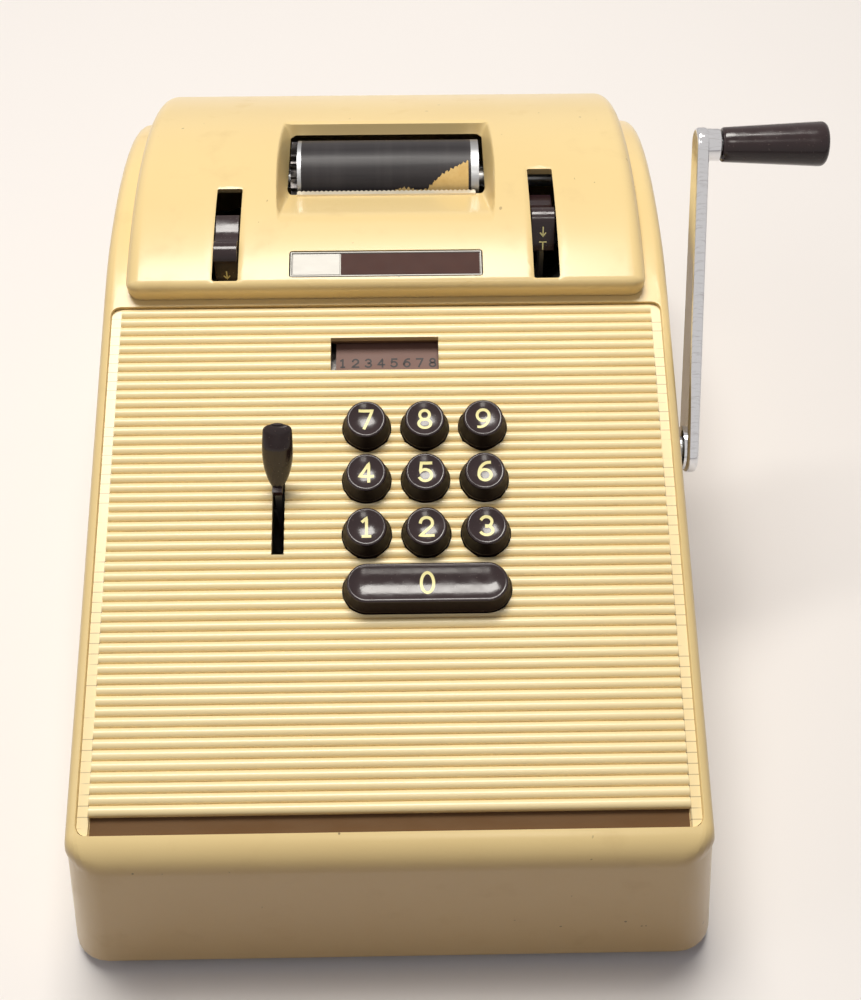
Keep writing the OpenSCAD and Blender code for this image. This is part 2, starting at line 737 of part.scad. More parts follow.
// Zero bar: the same section drawn out between two half-round ends, on two stems
module key_0() {
    half = cap_half(key_top_d, key_skirt_d);
    run = bar_len - key_skirt_d;
    color(brown) placed() on_panel(key_x, bar_v, 0) {
        for (s = [-1, 1]) translate([s * run / 2, 0, 0]) rotate([0, 0, -s * 90])
            rotate_extrude(angle = 180) polygon(half);
        translate([-run / 2, 0, 0]) rotate([90, 0, 90]) linear_extrude(height = run)
            polygon(concat(half, [for (i = [len(half) - 2 : -1 : 1]) [-half[i][0], half[i][1]]]));
        for (x = [-1, 1]) translate([x * bar_stem_x, 0, 0]) key_stem();
    }
}

// Column strip: the numbered strip seen through the window, on a foot on the pin carriage
module column_strip() {
    color([0.55, 0.42, 0.38]) placed() on_panel(0, 0, 0) {
        translate([strip_x0, -window_v - window_h / 2 - 0.8, strip_u - strip_t])
            cube([strip_x1 - strip_x0, window_h + 1.6, strip_t]);
        translate([-5, -window_v - 4, carriage_u1]) cube([10, 8, strip_u - strip_t - carriage_u1]);
    }
}

module pin_carriage() {
    pin_v = (carriage_v1 - carriage_v0) / 10;
    color(brass) placed() on_panel(0, 0, 0) difference() {
        translate([-carriage_half, -carriage_v1, carriage_u0])
            cube([2 * carriage_half, carriage_v1 - carriage_v0, carriage_u1 - carriage_u0]);
        for (v = rail_v) translate([-carriage_half - 1, -v, rail_u]) rotate([0, 90, 0])
            cylinder(h = 2 * carriage_half + 2, r = rail_r + run_gap);
        for (i = [0 : columns - 1]) translate([(i - (columns - 1) / 2) * column_pitch - 0.6,
            -carriage_v1 + pin_v, carriage_u0 - 1]) cube([1.2, carriage_v1 - carriage_v0 - 2 * pin_v, 3]);
    }
}

module carriage_rails() {
    color(steel) placed() for (h = rail_holes) rod(-frame_x, inner_x1, h[0], rail_r);
}

// Correction lever: a flat arm on a pivot pin, with a spade knob above the panel
lever_t = 2;
lever_arm_w = 6;
lever_end = lever_arm_w / 2 + 2 * pass_gap;
knob_seat_u = 3;

module at_lever() {
    translate([-lever_x, lever_axis[0], lever_axis[1]]) rotate([panel_slope + lever_lean, 0, 0]) children();
}

module correction_lever() {
    reach = lever_depth / cos(lever_lean) + knob_seat_u;
    color(steel) placed() at_lever() difference() {
        union() {
            translate([-lever_t / 2, 0, 0]) rotate([0, 90, 0]) cylinder(h = lever_t, r = lever_pin_r + 3);
            translate([-lever_t / 2, -lever_arm_w / 2, 0]) cube([lever_t, lever_arm_w, reach]);
        }
        translate([-lever_t, 0, 0]) rotate([0, 90, 0]) cylinder(h = 2 * lever_t, r = lever_pin_r + run_gap);
    }
}

knob_len = 25;
knob_w = 10.6;
knob_nose = 14;
knob_lean = -18;
knob_corner = 1.8;
knob_depth = 5;
knob_round = 7;

// Front outline of the knob: a long rounded nose that widens to a blunt head
module knob_front() {
    half = knob_w / 2;
    nose = [for (i = [1 : 8]) let (a = 90 * i / 8) [half * sin(a), knob_nose * (1 - cos(a))]];
    head = [for (a = [0 : 30 : 90]) [half - knob_corner * (1 - cos(a)), knob_len - knob_corner * (1 - sin(a))]];
    right = concat(nose, head);
    polygon(concat(right, [for (i = [len(right) - 1 : -1 : 0]) [-right[i][0], right[i][1]]]));
}

module correction_knob() {
    reach = lever_depth / cos(lever_lean) + knob_seat_u;
    color(brown) placed() at_lever() translate([0, 0, reach]) {
        translate([-lever_t / 2 - 0.6, -lever_arm_w / 2 + 0.5, 0]) cube([lever_t + 1.2, lever_arm_w - 1, 2]);
        rotate([knob_lean, 0, 0]) intersection() {
            translate([0, knob_depth / 2, 0]) rotate([90, 0, 0]) linear_extrude(height = knob_depth) knob_front();
            translate([0, knob_round - knob_depth / 2, 0]) cylinder(h = 2 * knob_len, r = knob_round);
            along_x(-knob_w, knob_w) polygon([[-knob_depth, 0.9], [knob_depth, 0.9], [knob_depth / 2, knob_nose],
                [1, knob_len], [-0.4, knob_len + 1], [-knob_depth / 2, knob_nose + 3]]);
        }
    }
}

module lever_pivot() {
    color(steel) placed() {
        rod(-frame_x - 2, -lever_x + lever_t / 2 + 2, lever_axis, lever_pin_r);
        rod(-lever_x + lever_t / 2 + pass_gap, -lever_x + lever_t / 2 + 2, lever_axis, lever_pin_r + 2);
        rod(-frame_in, -frame_in + 3, lever_axis, lever_pin_r + 2);
        rod(-lever_x - lever_t / 2 - 2, -lever_x - lever_t / 2 - pass_gap, lever_axis, lever_pin_r + 2);
    }
}

// Control levers: a hub, a flat strip and a saddle-shaped thumb piece that stands through the hood
thumb_front = 11.8;
thumb_drop = 14;
lobe_r = 4.5;
heel_r = 3;
saddle_r = 9;
saddle_d = 2;
strip_w = 1.6;

module thumb_side() {
    tail = thumb_len - thumb_front;
    difference() {
        union() {
            polygon([[-thumb_front - 0.6, thumb_rise - thumb_drop], [-thumb_front, thumb_rise - lobe_r],
                [lobe_r - thumb_front, thumb_rise], [tail - heel_r, thumb_rise], [tail, thumb_rise - heel_r],
                [tail, thumb_rise - thumb_drop * 0.6], [6 - thumb_front, thumb_rise - thumb_drop]]);
            translate([lobe_r - thumb_front, thumb_rise - lobe_r]) circle(lobe_r);
            translate([tail - heel_r, thumb_rise - heel_r]) circle(heel_r);
        }
        translate([tail - thumb_len / 2, thumb_rise - saddle_d + saddle_r]) circle(saddle_r);
    }
}

module control_lever(x, rest) {
    color(brown) placed() translate([x, control_axis[0], control_axis[1]]) rotate([-rest, 0, 0]) difference() {
        union() {
            along_x(-thumb_w / 2, thumb_w / 2) thumb_side();
            along_x(-strip_w / 2, strip_w / 2) polygon([[-5, 0], [5, 0],
                [thumb_len - thumb_front - 3, thumb_rise - thumb_drop * 0.5],
                [3 - thumb_front, thumb_rise - thumb_drop * 0.9]]);
            rod(-thumb_w / 2, thumb_w / 2, [0, 0], control_r + 3);
        }
        rod(-thumb_w, thumb_w, [0, 0], control_r + run_gap);
    }
}

left_rest = 0;
right_rest = 23;

module left_control_lever() {
    control_lever(-slot_x, left_rest);
}

module right_control_lever() {
    control_lever(slot_x, right_rest);
}

module control_lever_shaft() {
    collar = control_r + 2.5;
    color(steel) placed() {
        rod(-frame_x - 1, slot_x + thumb_w / 2 + 4, control_axis, control_r);
        for (x = [-slot_x, slot_x], s = [-1, 1])
            rod(x + s * (thumb_w / 2 + pass_gap + collar_t / 2) - collar_t / 2,
                x + s * (thumb_w / 2 + pass_gap + collar_t / 2) + collar_t / 2, control_axis, collar);
    }
}

// Platen: a rubber roller between two discs on one shaft, with a ratchet wheel on the left
disc_t = 1.4;
ratchet_t = 2.2;
ratchet_teeth = 22;

module platen_roller() {
    color(black) placed() difference() {
        rod(-platen_len / 2, platen_len / 2, platen_axis, platen_r);
        rod(-platen_len, platen_len, platen_axis, platen_shaft_r + run_gap);
    }
}

module platen_discs() {
    color(bright) placed() difference() {
        union() {
            rod(-platen_len / 2 - disc_t, -platen_len / 2, platen_axis, platen_r);
            rod(platen_len / 2, platen_len / 2 + 2 * disc_t, platen_axis, platen_r);
        }
        rod(-platen_len, platen_len, platen_axis, platen_shaft_r + run_gap);
    }
}

module platen_ratchet() {
    x0 = -platen_len / 2 - disc_t - 0.2 - ratchet_t;
    step = 360 / ratchet_teeth;
    color(steel) placed() translate([0, platen_axis[0], platen_axis[1]]) along_x(x0, x0 + ratchet_t) difference() {
        union() {
            circle(platen_r - 2.2);
            for (i = [0 : ratchet_teeth - 1]) rotate(i * step) polygon([[platen_r - 3, -1.7],
                [platen_r - 0.4, 1.1], [platen_r - 3, 1.7]]);
        }
        circle(platen_shaft_r + run_gap);
    }
}

module platen_shaft() {
    color(steel) placed() {
        rod(-frame_x - 1, frame_x + 1, platen_axis, platen_shaft_r);
        for (s = [-1, 1]) rod(s * (frame_in - 2.2) - 1.8, s * (frame_in - 2.2) + 1.8, platen_axis, platen_shaft_r + 3);
    }
}

// The torn end of the paper tape, lying on the platen
tape_t = 0.3;
tape_gap = 0.15;
tape_right = platen_len / 2 - 1;
tape_left = -7;

module paper_tape() {
    rin = platen_r + tape_gap;
    tear = [[tape_left, 0], [tape_right, 0], [tape_right, 17.5], [tape_right - 9, 14.5], [tape_right - 16, 8],
        [tape_right - 20, 4.6], [tape_right - 27, 5.6]];
    color(paper) placed() intersection() {
        difference() {
            rod(tape_left, tape_right, platen_axis, rin + tape_t);
            rod(tape_left - 1, tape_right + 1, platen_axis, rin);
        }
        translate([0, platen_axis[0], platen_axis[1]]) rotate([50, 0, 0])
            translate([0, -platen_r - 1, 0]) linear_extrude(height = 2 * platen_r) polygon(tear);
    }
}

module paper_roll() {
    color([0.95, 0.93, 0.88]) placed() difference() {
        rod(-roll_w / 2, roll_w / 2, roll_axis, roll_r);
        rod(-roll_w, roll_w, roll_axis, spindle_r + run_gap);
    }
}

module roll_spindle() {
    color(steel) placed() {
        rod(-frame_x - 1, frame_x + 1, roll_axis, spindle_r);
        for (s = [-1, 1]) rod(s * (roll_w / 2 + 2) - 1.5, s * (roll_w / 2 + 2) + 1.5, roll_axis, 2 * spindle_r);
    }
}

// Crank: flat arm with rounded ends, inner boss and outer collar
crank_tip = polar(crank_axis, crank_len, crank_back);
spindle_pin_r = 2.5;
cap_t = 1.8;

module at_crank() {
    translate([0, crank_axis[0], crank_axis[1]]) rotate([-crank_back, 0, 0]) children();
}

module crank_arm() {
    color(bright) placed() difference() {
        union() {
            at_crank() along_x(arm_x0, arm_x1) {
                circle(crank_w / 2);
                translate([0, crank_len]) circle(crank_tip_w / 2);
                polygon([[0.1 - crank_w / 2, 0], [crank_w / 2 - 0.1, 0],
                    [crank_tip_w / 2 - 0.1, crank_len], [0.1 - crank_tip_w / 2, crank_len]]);
            }
            rod(arm_x0 - crank_gap / 2, arm_x0 + 1, crank_axis, crank_w / 2 - 1);
            rod(arm_x1 - 1, arm_x1 + collar_len, crank_tip, collar_d / 2);
        }
        rod(0, arm_x1 + 1, crank_axis, shaft_r + run_gap / 2);
        rod(arm_x1 - cap_t, arm_x1 + 1, crank_axis, shaft_r + 1.2 + run_gap);
        rod(arm_x0 - 1, grip_x1, crank_tip, spindle_pin_r + run_gap / 2);
    }
}

module grip_spindle() {
    color(bright) placed() {
        rod(arm_x0, grip_x0 + grip_len * 0.7, crank_tip, spindle_pin_r);
        rod(grip_x0 + grip_len * 0.7, grip_x0 + grip_len * 0.7 + 1.5, crank_tip, spindle_pin_r + 1.2);
    }
}

module crank_grip() {
    crown = 1;
    bore = spindle_pin_r + run_gap;
    head = spindle_pin_r + 1.2 + pass_gap;
    head_x = grip_len * 0.7 - pass_gap;
    color(brown) placed() translate([grip_x0, crank_tip[0], crank_tip[1]]) rotate([0, 90, 0])
        rotate_extrude() polygon(concat(
            [[bore, 0], [grip_neck_d / 2 - 0.8, 0], [grip_neck_d / 2, 0.8]],
            [[grip_end_d / 2, grip_len - crown - 1.5]],
            [for (a = [80 : -10 : 10]) [grip_end_d / 2 - 2 + 2 * sin(a), grip_len - crown - 1.5 + 2 * cos(a)]],
            [[grip_end_d / 4, grip_len - 0.3], [0, grip_len]],
            [[0, head_x + 1.5 + 2 * pass_gap], [head, head_x + 1.5 + 2 * pass_gap], [head, head_x], [bore, head_x]]));
}

module crank_screw() {
    color(bright) placed() difference() {
        union() {
            rod(arm_x1 - cap_t, arm_x1, crank_axis, shaft_r + 1.2);
            rod(arm_x1 - cap_t - 6, arm_x1 - cap_t + 0.1, crank_axis, 2);
        }
        translate([arm_x1 - 0.8, crank_axis[0] - 8, crank_axis[1] - 0.5]) cube([2, 16, 1]);
    }
}

module drive_shaft() {
    color(steel) placed() difference() {
        rod(inner_x0 + 0.2, arm_x1 - cap_t, crank_axis, shaft_r);
        rod(arm_x1 - cap_t - 7, arm_x1 + 1, crank_axis, 2 + run_gap / 2);
    }
}

module shaft_bushes() {
    color(brass) placed() for (x = bush_x) difference() {
        union() {
            rod(x, x + frame_t, crank_axis, bush_r);
            rod(x + (x == inner_x0 ? frame_t : -1.5), x + (x == inner_x0 ? frame_t + 1.5 : 0), crank_axis, bush_r + 2);
        }
        rod(x - 3, x + 6, crank_axis, shaft_r + run_gap);
    }
}

// Drive: the crank's sector turns the bail's sector
gear_x0 = 64;
gear_x1 = 69;
sector_mesh = drive_dir;
bail_mesh = 180 + drive_dir;
bail_pull = crank_pull * sector_teeth / bail_teeth;
sector_step = 360 / sector_teeth;
bail_step = 360 / bail_teeth;

module drive_sector() {
    color(steel) placed() translate([0, crank_axis[0], crank_axis[1]]) along_x(gear_x0, gear_x1)
        rotate(sector_mesh) toothed(drive_module, sector_teeth, shaft_r + 4, -crank_pull - 1.2 * sector_step,
            1.2 * sector_step) circle(shaft_r + run_gap / 2);
}

module bail_sector() {
    color(steel) placed() translate([0, bail_axis[0], bail_axis[1]]) along_x(gear_x0, gear_x1)
        rotate(bail_mesh + bail_step / 2) toothed(drive_module, bail_teeth, bail_shaft_r + 4,
            -2.2 * bail_step, bail_pull + 1.7 * bail_step) circle(bail_shaft_r + run_gap / 2);
}

module bail_shaft() {
    color(steel) placed() rod(-frame_x - 1, frame_x + 1, bail_axis, bail_shaft_r);
}

module restoring_bail() {
    color(steel) placed() {
        for (s = [-1, 1]) along_x(s * bail_arm_x - 1, s * bail_arm_x + 1) translate(bail_axis) difference() {
            union() {
                circle(bail_shaft_r + 3);
                rotate(bail_rest) {
                    translate([0, -3.5]) square([bail_r, 7]);
                    translate([bail_r, 0]) circle(3.5);
                }
            }
            circle(bail_shaft_r + run_gap / 2);
        }
        rod(-bail_arm_x - 2, bail_arm_x + 2, bail_rod, bail_rod_r);
    }
}

// Return spring: a coil round the crank shaft
spring_turns = 4.5;
spring_pitch = 2.4;
spring_wire_r = 0.7;
spring_r = shaft_r + 2.2;
spring_x = inner_x1 + 2;
spring_sides = 6;
spring_rings = 8;
spring_n = floor(spring_turns * spring_rings);
function spring_ring(i) = let (a = 360 * i / spring_rings, c = [spring_x + spring_wire_r + spring_pitch * i / spring_rings,
    spring_r * cos(a), spring_r * sin(a)])
    [for (k = [0 : spring_sides - 1]) let (b = 360 * k / spring_sides)
        c + spring_wire_r * (cos(b) * [1, 0, 0] + sin(b) * [0, cos(a), sin(a)])];
spring_points = [for (i = [0 : spring_n]) each spring_ring(i)];
function spring_quad(i, k) = let (p = i * spring_sides + k, q = i * spring_sides + (k + 1) % spring_sides)
    [[p, q, p + spring_sides], [q, q + spring_sides, p + spring_sides]];
spring_faces = concat(
    [for (i = [0 : spring_n - 1], k = [0 : spring_sides - 1]) each spring_quad(i, k)],
    [for (k = [1 : spring_sides - 2]) [0, k + 1, k]],
    [for (k = [1 : spring_sides - 2]) let (o = spring_n * spring_sides) [o, o + k, o + k + 1]]);
echo(spring_gap = spring_pitch - 2 * spring_wire_r);

module return_spring() {
    color(steel) placed() translate([0, crank_axis[0], crank_axis[1]]) polyhedron(spring_points, spring_faces);
}

// Adding racks, one for each column, in two slotted guides
function column_x(i) = (i - (columns - 1) / 2) * column_pitch;
rack_tooth = PI * rack_module;
rack_phase = type_axis[0];

module adding_racks() {
    first = ceil((rack_front + 2 - rack_phase) / rack_tooth);
    last = floor((rack_front + rack_len - 2 - rack_phase) / rack_tooth);
    root = rack_top - 1.15 * rack_module;
    color(steel) placed() for (i = [0 : columns - 1]) along_x(column_x(i) - rack_t / 2, column_x(i) + rack_t / 2) {
        translate([rack_front, rack_top - rack_h]) square([rack_len, rack_h - 1.15 * rack_module]);
        for (k = [first : last]) translate([rack_phase + (k + 0.5) * rack_tooth, root])
            polygon([[-1.0, -0.1], [1.0, -0.1], [0.34, 2 * rack_module], [-0.34, 2 * rack_module]]);
    }
}

guide_half = columns * column_pitch / 2 + 4;
rack_guide_y = [rack_front + 6, rack_front + 19];

module rack_guides() {
    low = rack_top - rack_h - 0.2;
    color(steel) placed() difference() {
        for (y = rack_guide_y) translate([-guide_half, y, floor_z]) cube([2 * guide_half, 2, rack_top + 3 - floor_z]);
        for (i = [0 : columns - 1]) translate([column_x(i) - rack_t / 2 - 0.2, rack_front, low])
            cube([rack_t + 0.4, rack_len, rack_h + 5]);
    }
}

module type_wheels() {
    color(steel) placed() for (i = [0 : columns - 1])
        translate([0, type_axis[0], type_axis[1]]) along_x(column_x(i) - rack_t / 2, column_x(i) + rack_t / 2)
            rotate(-90) toothed(rack_module, type_teeth, type_r - 1.15 * rack_module, -180, 174)
                circle(thin_shaft_r + run_gap);
}

module accumulator_wheels() {
    color(brass) placed() for (i = [0 : columns - 1])
        translate([0, accum_axis[0], accum_axis[1]]) along_x(column_x(i) - rack_t / 2, column_x(i) + rack_t / 2)
            toothed(2 * accum_r / 22, 20, accum_r - 1.2, -180, 171) circle(thin_shaft_r + run_gap);
}

module wheel_shafts() {
    color(steel) placed() for (at = [type_axis, accum_axis]) rod(-frame_x - 1, frame_x + 1, at, thin_shaft_r);
}

// Ribbon: a deck between the frames with two posts, two spools and the inked band
ribbon_y = type_axis[0];

module ribbon_deck() {
    color(steel) placed() difference() {
        union() {
            translate([-frame_in, ribbon_y - 14, deck_z]) cube([2 * frame_in, 28, deck_sheet]);
            for (s = [-1, 1]) translate([s * spool_x, ribbon_y, deck_z]) cylinder(h = deck_sheet + spool_h + 2, r = spool_post_r);
        }
        translate([-guide_half, ribbon_y - 30, deck_z - 1]) cube([2 * guide_half, 60, 5]);
    }
}

module ribbon_spool(x) {
    flange = 1.2;
    color(black) placed() translate([x, ribbon_y, deck_z + deck_sheet + 0.2]) difference() {
        union() {
            cylinder(h = flange, r = spool_r);
            cylinder(h = spool_h, r = spool_core_r);
            translate([0, 0, spool_h - flange]) cylinder(h = flange, r = spool_r);
        }
        translate([0, 0, -1]) cylinder(h = spool_h + 2, r = spool_post_r + run_gap);
    }
}

module ribbon() {
    color(black) placed() translate([-spool_x, ribbon_y + spool_core_r + 0.3, deck_z + deck_sheet + 2])
        cube([2 * spool_x, 0.3, spool_h - 4]);
}

base_pan();
rubber_feet();
foot_screws();
case();
keyboard_panel();
hood();
name_plate();
tear_bar();
left_side_frame();
right_side_frame();
inner_frame();
tie_rods();
upper_key_guide();
lower_key_guide();
key_0();
round_key(1);  // key_1
round_key(2);  // key_2
round_key(3);  // key_3
round_key(4);  // key_4
round_key(5);  // key_5
round_key(6);  // key_6
round_key(7);  // key_7
round_key(8);  // key_8
round_key(9);  // key_9
column_strip();
pin_carriage();
carriage_rails();
correction_lever();
correction_knob();
lever_pivot();
left_control_lever();
right_control_lever();
control_lever_shaft();
platen_roller();
platen_shaft();
platen_ratchet();
platen_discs();
paper_tape();
paper_roll();
roll_spindle();
crank_arm();
crank_grip();
grip_spindle();
crank_screw();
drive_shaft();
shaft_bushes();
drive_sector();
return_spring();
bail_shaft();
bail_sector();
restoring_bail();
adding_racks();
rack_guides();
type_wheels();
accumulator_wheels();
wheel_shafts();
ribbon_deck();
ribbon_spool(-spool_x);  // ribbon_spool_left
ribbon_spool(spool_x);  // ribbon_spool_right
ribbon();
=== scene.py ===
from math import acos, asin, cos, hypot, pi, radians, sin, sqrt, tan

import bmesh
import bpy
from mathutils import Matrix, Vector


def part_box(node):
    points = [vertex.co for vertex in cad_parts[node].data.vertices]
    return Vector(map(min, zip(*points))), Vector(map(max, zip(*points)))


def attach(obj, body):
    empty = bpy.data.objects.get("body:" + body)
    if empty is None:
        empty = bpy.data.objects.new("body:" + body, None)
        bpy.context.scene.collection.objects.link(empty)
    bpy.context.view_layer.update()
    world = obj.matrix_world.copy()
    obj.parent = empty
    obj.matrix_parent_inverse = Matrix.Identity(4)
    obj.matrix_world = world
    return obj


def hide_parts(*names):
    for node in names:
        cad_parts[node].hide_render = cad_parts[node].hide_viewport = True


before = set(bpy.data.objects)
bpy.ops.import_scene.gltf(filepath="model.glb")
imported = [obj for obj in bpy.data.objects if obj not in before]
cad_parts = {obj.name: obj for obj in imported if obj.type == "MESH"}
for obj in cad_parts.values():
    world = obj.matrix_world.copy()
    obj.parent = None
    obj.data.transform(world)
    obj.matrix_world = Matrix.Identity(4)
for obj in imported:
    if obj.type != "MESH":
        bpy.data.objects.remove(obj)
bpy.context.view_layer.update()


# Base pan: a tray pressed from plain steel sheet whose rim stands just inside the case.
# Four turned rubber feet are held under it by slotted screws that go up into pressed bosses.

class Wire:
    """One output of a shader node, which adds and scales like a number."""

    def __init__(self, tree, socket):
        self.tree = tree
        self.socket = socket

    def node(self, kind, settings, sockets, out=0):
        """A new node of any kind: its settings first, then the values or wires of its sockets."""
        made = self.tree.nodes.new("ShaderNode" + kind)
        for name, value in settings.items():
            setattr(made, name, value)
        for key, value in sockets.items():
            if isinstance(value, Wire):
                self.tree.links.new(value.socket, made.inputs[key])
            else:
                made.inputs[key].default_value = value
        return Wire(self.tree, made.outputs[out])

    def maths(self, operation, *values):
        return self.node("Math", {"operation": operation}, dict(enumerate(values)))

    def into(self, socket):
        self.tree.links.new(self.socket, socket)

    def __add__(self, other):
        return self.maths("ADD", self, other)

    def __sub__(self, other):
        return self.maths("SUBTRACT", self, other)

    def __rsub__(self, other):
        return self.maths("SUBTRACT", other, self)

    def __mul__(self, other):
        return self.maths("MULTIPLY", self, other)

    def __truediv__(self, other):
        return self.maths("DIVIDE", self, other)

    def __rtruediv__(self, other):
        return self.maths("DIVIDE", other, self)

    def __abs__(self):
        return self.maths("ABSOLUTE", self)

    __radd__ = __add__
    __rmul__ = __mul__


def srgb(red, green, blue):
    """A colour as seen on a screen, 0 to 255, as the shader wants it."""
    return tuple(((c / 255 + 0.055) / 1.055) ** 2.4 if c > 10 else c / 3295
                 for c in (red, green, blue)) + (1.0,)


def new_finish(name, **constants):
    """A material with its constants set, its shader's sockets, and a wire of object coordinates."""
    finish = bpy.data.materials.new(name)
    finish.use_nodes = True
    tree = finish.node_tree
    skin = tree.nodes["Principled BSDF"].inputs
    for socket, value in constants.items():
        skin[socket.replace("_", " ")].default_value = value
    return finish, skin, Wire(tree, tree.nodes.new("ShaderNodeTexCoord").outputs["Object"])


def stretched(at, x, y, z):
    return at.node("VectorMath", {"operation": "MULTIPLY"}, {0: at, 1: (x, y, z)})


def cloudy(at, size, detail=3.0):
    """Noise whose patches are about size metres across, from 0 to 1."""
    return at.node("TexNoise", {}, {"Vector": at, "Scale": 1 / size, "Detail": detail})


def step(wire, low, high):
    """0 below low, 1 above high and smooth between."""
    return wire.node("MapRange", {"interpolation_type": "SMOOTHSTEP"},
                     {"Value": wire, "From Min": low, "From Max": high})


def tint(wire, colour, other):
    """One colour where the wire is 0, the other where it is 1, and a mix between."""
    return wire.node("Mix", {"data_type": "RGBA"}, {0: wire, 6: colour, 7: other}, out=2)


def relief(height, depth, skin):
    """Bumps the surface by height, where 1 stands for depth metres."""
    bump = height.node("Bump", {}, {"Strength": 1.0, "Distance": depth, "Height": height})
    bump.into(skin["Normal"])


def dress(finish, *nodes):
    """Gives solids that stay as they are their finish."""
    for name in nodes:
        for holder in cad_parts[name].material_slots:
            holder.material = finish


plain_steel, skin, at = new_finish("plain_steel", Metallic=1.0)
rolled = cloudy(stretched(at, 1, 14, 14), 0.02, 4.0)
stain = step(cloudy(at, 0.03), 0.45, 0.75)
tint(stain, srgb(176, 178, 180), srgb(146, 140, 130)).into(skin["Base Color"])
(rolled * 0.18 + stain * 0.12 + 0.28).into(skin["Roughness"])
relief(rolled, 0.00006, skin)
dress(plain_steel, "base_pan", "foot_screws")

black_rubber, skin, at = new_finish("black_rubber", Specular_IOR_Level=0.35)
pores = cloudy(at, 0.0006, 2.0)
dusty = step(cloudy(at, 0.012), 0.4, 0.8)
tint(dusty, srgb(38, 36, 38), srgb(70, 66, 64)).into(skin["Base Color"])
(pores * 0.2 + dusty * 0.15 + 0.42).into(skin["Roughness"])
relief(pores, 0.00004, skin)
dress(black_rubber, "rubber_feet")


# Frames: two upright side plates and an inner plate of sheet steel stand on the pan, spaced by
# tie rods. Everything that turns runs in them; the key stems slide in two perforated guides
# between.

dress(plain_steel, "left_side_frame", "right_side_frame", "inner_frame", "tie_rods",
      "upper_key_guide", "lower_key_guide", "lever_pivot", "control_lever_shaft")


# Drive: the crank shaft turns in brass bushes, and its sector swings the bail that pushes the
# adding racks. The racks turn the type wheels; a wound spring brings the crank back.

brass, skin, at = new_finish("brass", Metallic=1.0)
tarnish = step(cloudy(at, 0.006), 0.35, 0.75)
tint(tarnish, srgb(206, 172, 96), srgb(150, 116, 62)).into(skin["Base Color"])
(tarnish * 0.25 + 0.24).into(skin["Roughness"])
relief(cloudy(stretched(at, 20, 1, 1), 0.004), 0.00002, skin)
dress(brass, "shaft_bushes", "type_wheels", "accumulator_wheels")
dress(plain_steel, "drive_shaft", "drive_sector", "return_spring", "bail_shaft", "bail_sector",
      "restoring_bail", "adding_racks", "rack_guides", "wheel_shafts")


# Ribbon: a deck of sheet steel carries two moulded spools on posts, with the inked cloth band
# between them. The band hangs slack by a hair and its weave shows as fine threads.

front_to_rib = 0.181
low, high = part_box("case")
datum = ((low[0] + high[0]) / 2, low[1] + front_to_rib)


def place(x, y, z):
    """A machine point in the scene: it counts in millimetres from its mid plane, its rearmost
    rib and the desk."""
    return Vector((datum[0] + x / 1000, datum[1] + y / 1000, z / 1000))


def net(rows, ring=False, caps=False):
    """Points and quads between rows of points: ring joins the ends of each row, and caps closes
    the first and last ring."""
    wide = len(rows[0])
    points = [point for row in rows for point in row]
    faces = []
    for i in range(len(rows) - 1):
        for j in range(wide if ring else wide - 1):
            here, there = i * wide + j, i * wide + (j + 1) % wide
            faces.append((here, there, there + wide, here + wide))
    if caps:
        faces += [tuple(range(wide - 1, -1, -1)), tuple(range(len(points) - wide, len(points)))]
    return points, faces


def new_piece(name, shape, finish, body, replaces=(), sharp=38, closed=True):
    """A mesh in machine millimetres that rides on a body, smooth apart from the edges that turn
    by more than sharp degrees."""
    mesh = bpy.data.meshes.new(name)
    mesh.from_pydata([place(*point) for point in shape[0]], [], shape[1])
    work = bmesh.new()
    work.from_mesh(mesh)
    bmesh.ops.remove_doubles(work, verts=work.verts, dist=1e-6)
    if closed:
        bmesh.ops.recalc_face_normals(work, faces=work.faces)
    work.to_mesh(mesh)
    work.free()
    mesh.materials.append(finish)
    mesh.shade_smooth()
    mesh.set_sharp_from_angle(angle=radians(sharp))
    piece = bpy.data.objects.new(name, mesh)
    bpy.context.scene.collection.objects.link(piece)
    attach(piece, body)
    if replaces:
        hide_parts(*replaces)
    return piece


black_plastic, skin, at = new_finish("black_plastic")
worn = step(cloudy(at, 0.004), 0.5, 0.8)
tint(worn, srgb(30, 30, 32), srgb(52, 50, 50)).into(skin["Base Color"])
(worn * 0.2 + 0.3).into(skin["Roughness"])
relief(cloudy(at, 0.0008), 0.00002, skin)
dress(plain_steel, "ribbon_deck")
dress(black_plastic, "ribbon_spool_left", "ribbon_spool_right")

ribbon_cloth, skin, at = new_finish("ribbon_cloth", Sheen_Weight=0.2)
warp, weft = (at.node("TexWave", {"wave_type": "BANDS", "bands_direction": way},
                      {"Vector": at, "Scale": 900.0}) for way in "XZ")
threads = warp * weft
inked = step(cloudy(at, 0.008), 0.35, 0.7)
tint(inked, srgb(24, 22, 28), srgb(40, 36, 44)).into(skin["Base Color"])
(threads * 0.2 + 0.7).into(skin["Roughness"])
relief(threads, 0.00008, skin)

low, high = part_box("ribbon")
middle = place(0, 0, 0)
band_y = (low[1] + high[1]) * 500 - middle.y * 1000
band_low, band_high = low[2] * 1000, high[2] * 1000
half_span, waver, slack = 52, 0.1, 0.12
band = []
for k in range(7):
    thread_z = band_low + (band_high - band_low) * k / 6
    band.append([(x, band_y + waver * sin(x / 9), thread_z - slack * cos(x / 34))
                 for x in range(-half_span, half_span + 1, 2)])
ribbon = new_piece("inked_ribbon", net(band), ribbon_cloth, "chassis", ["ribbon"],
                   closed=False)


# Paper roll: white tape wound on a core, turning on a spindle at the back of the machine.
# Its turns show as fine rings on both ends, every other one a little sunk.

def ring_about(x, y, z, radius, count=48):
    """Points round a line that runs across the machine."""
    turns = [2 * pi * k / count for k in range(count)]
    return [(x, y + radius * sin(a), z + radius * cos(a)) for a in turns]


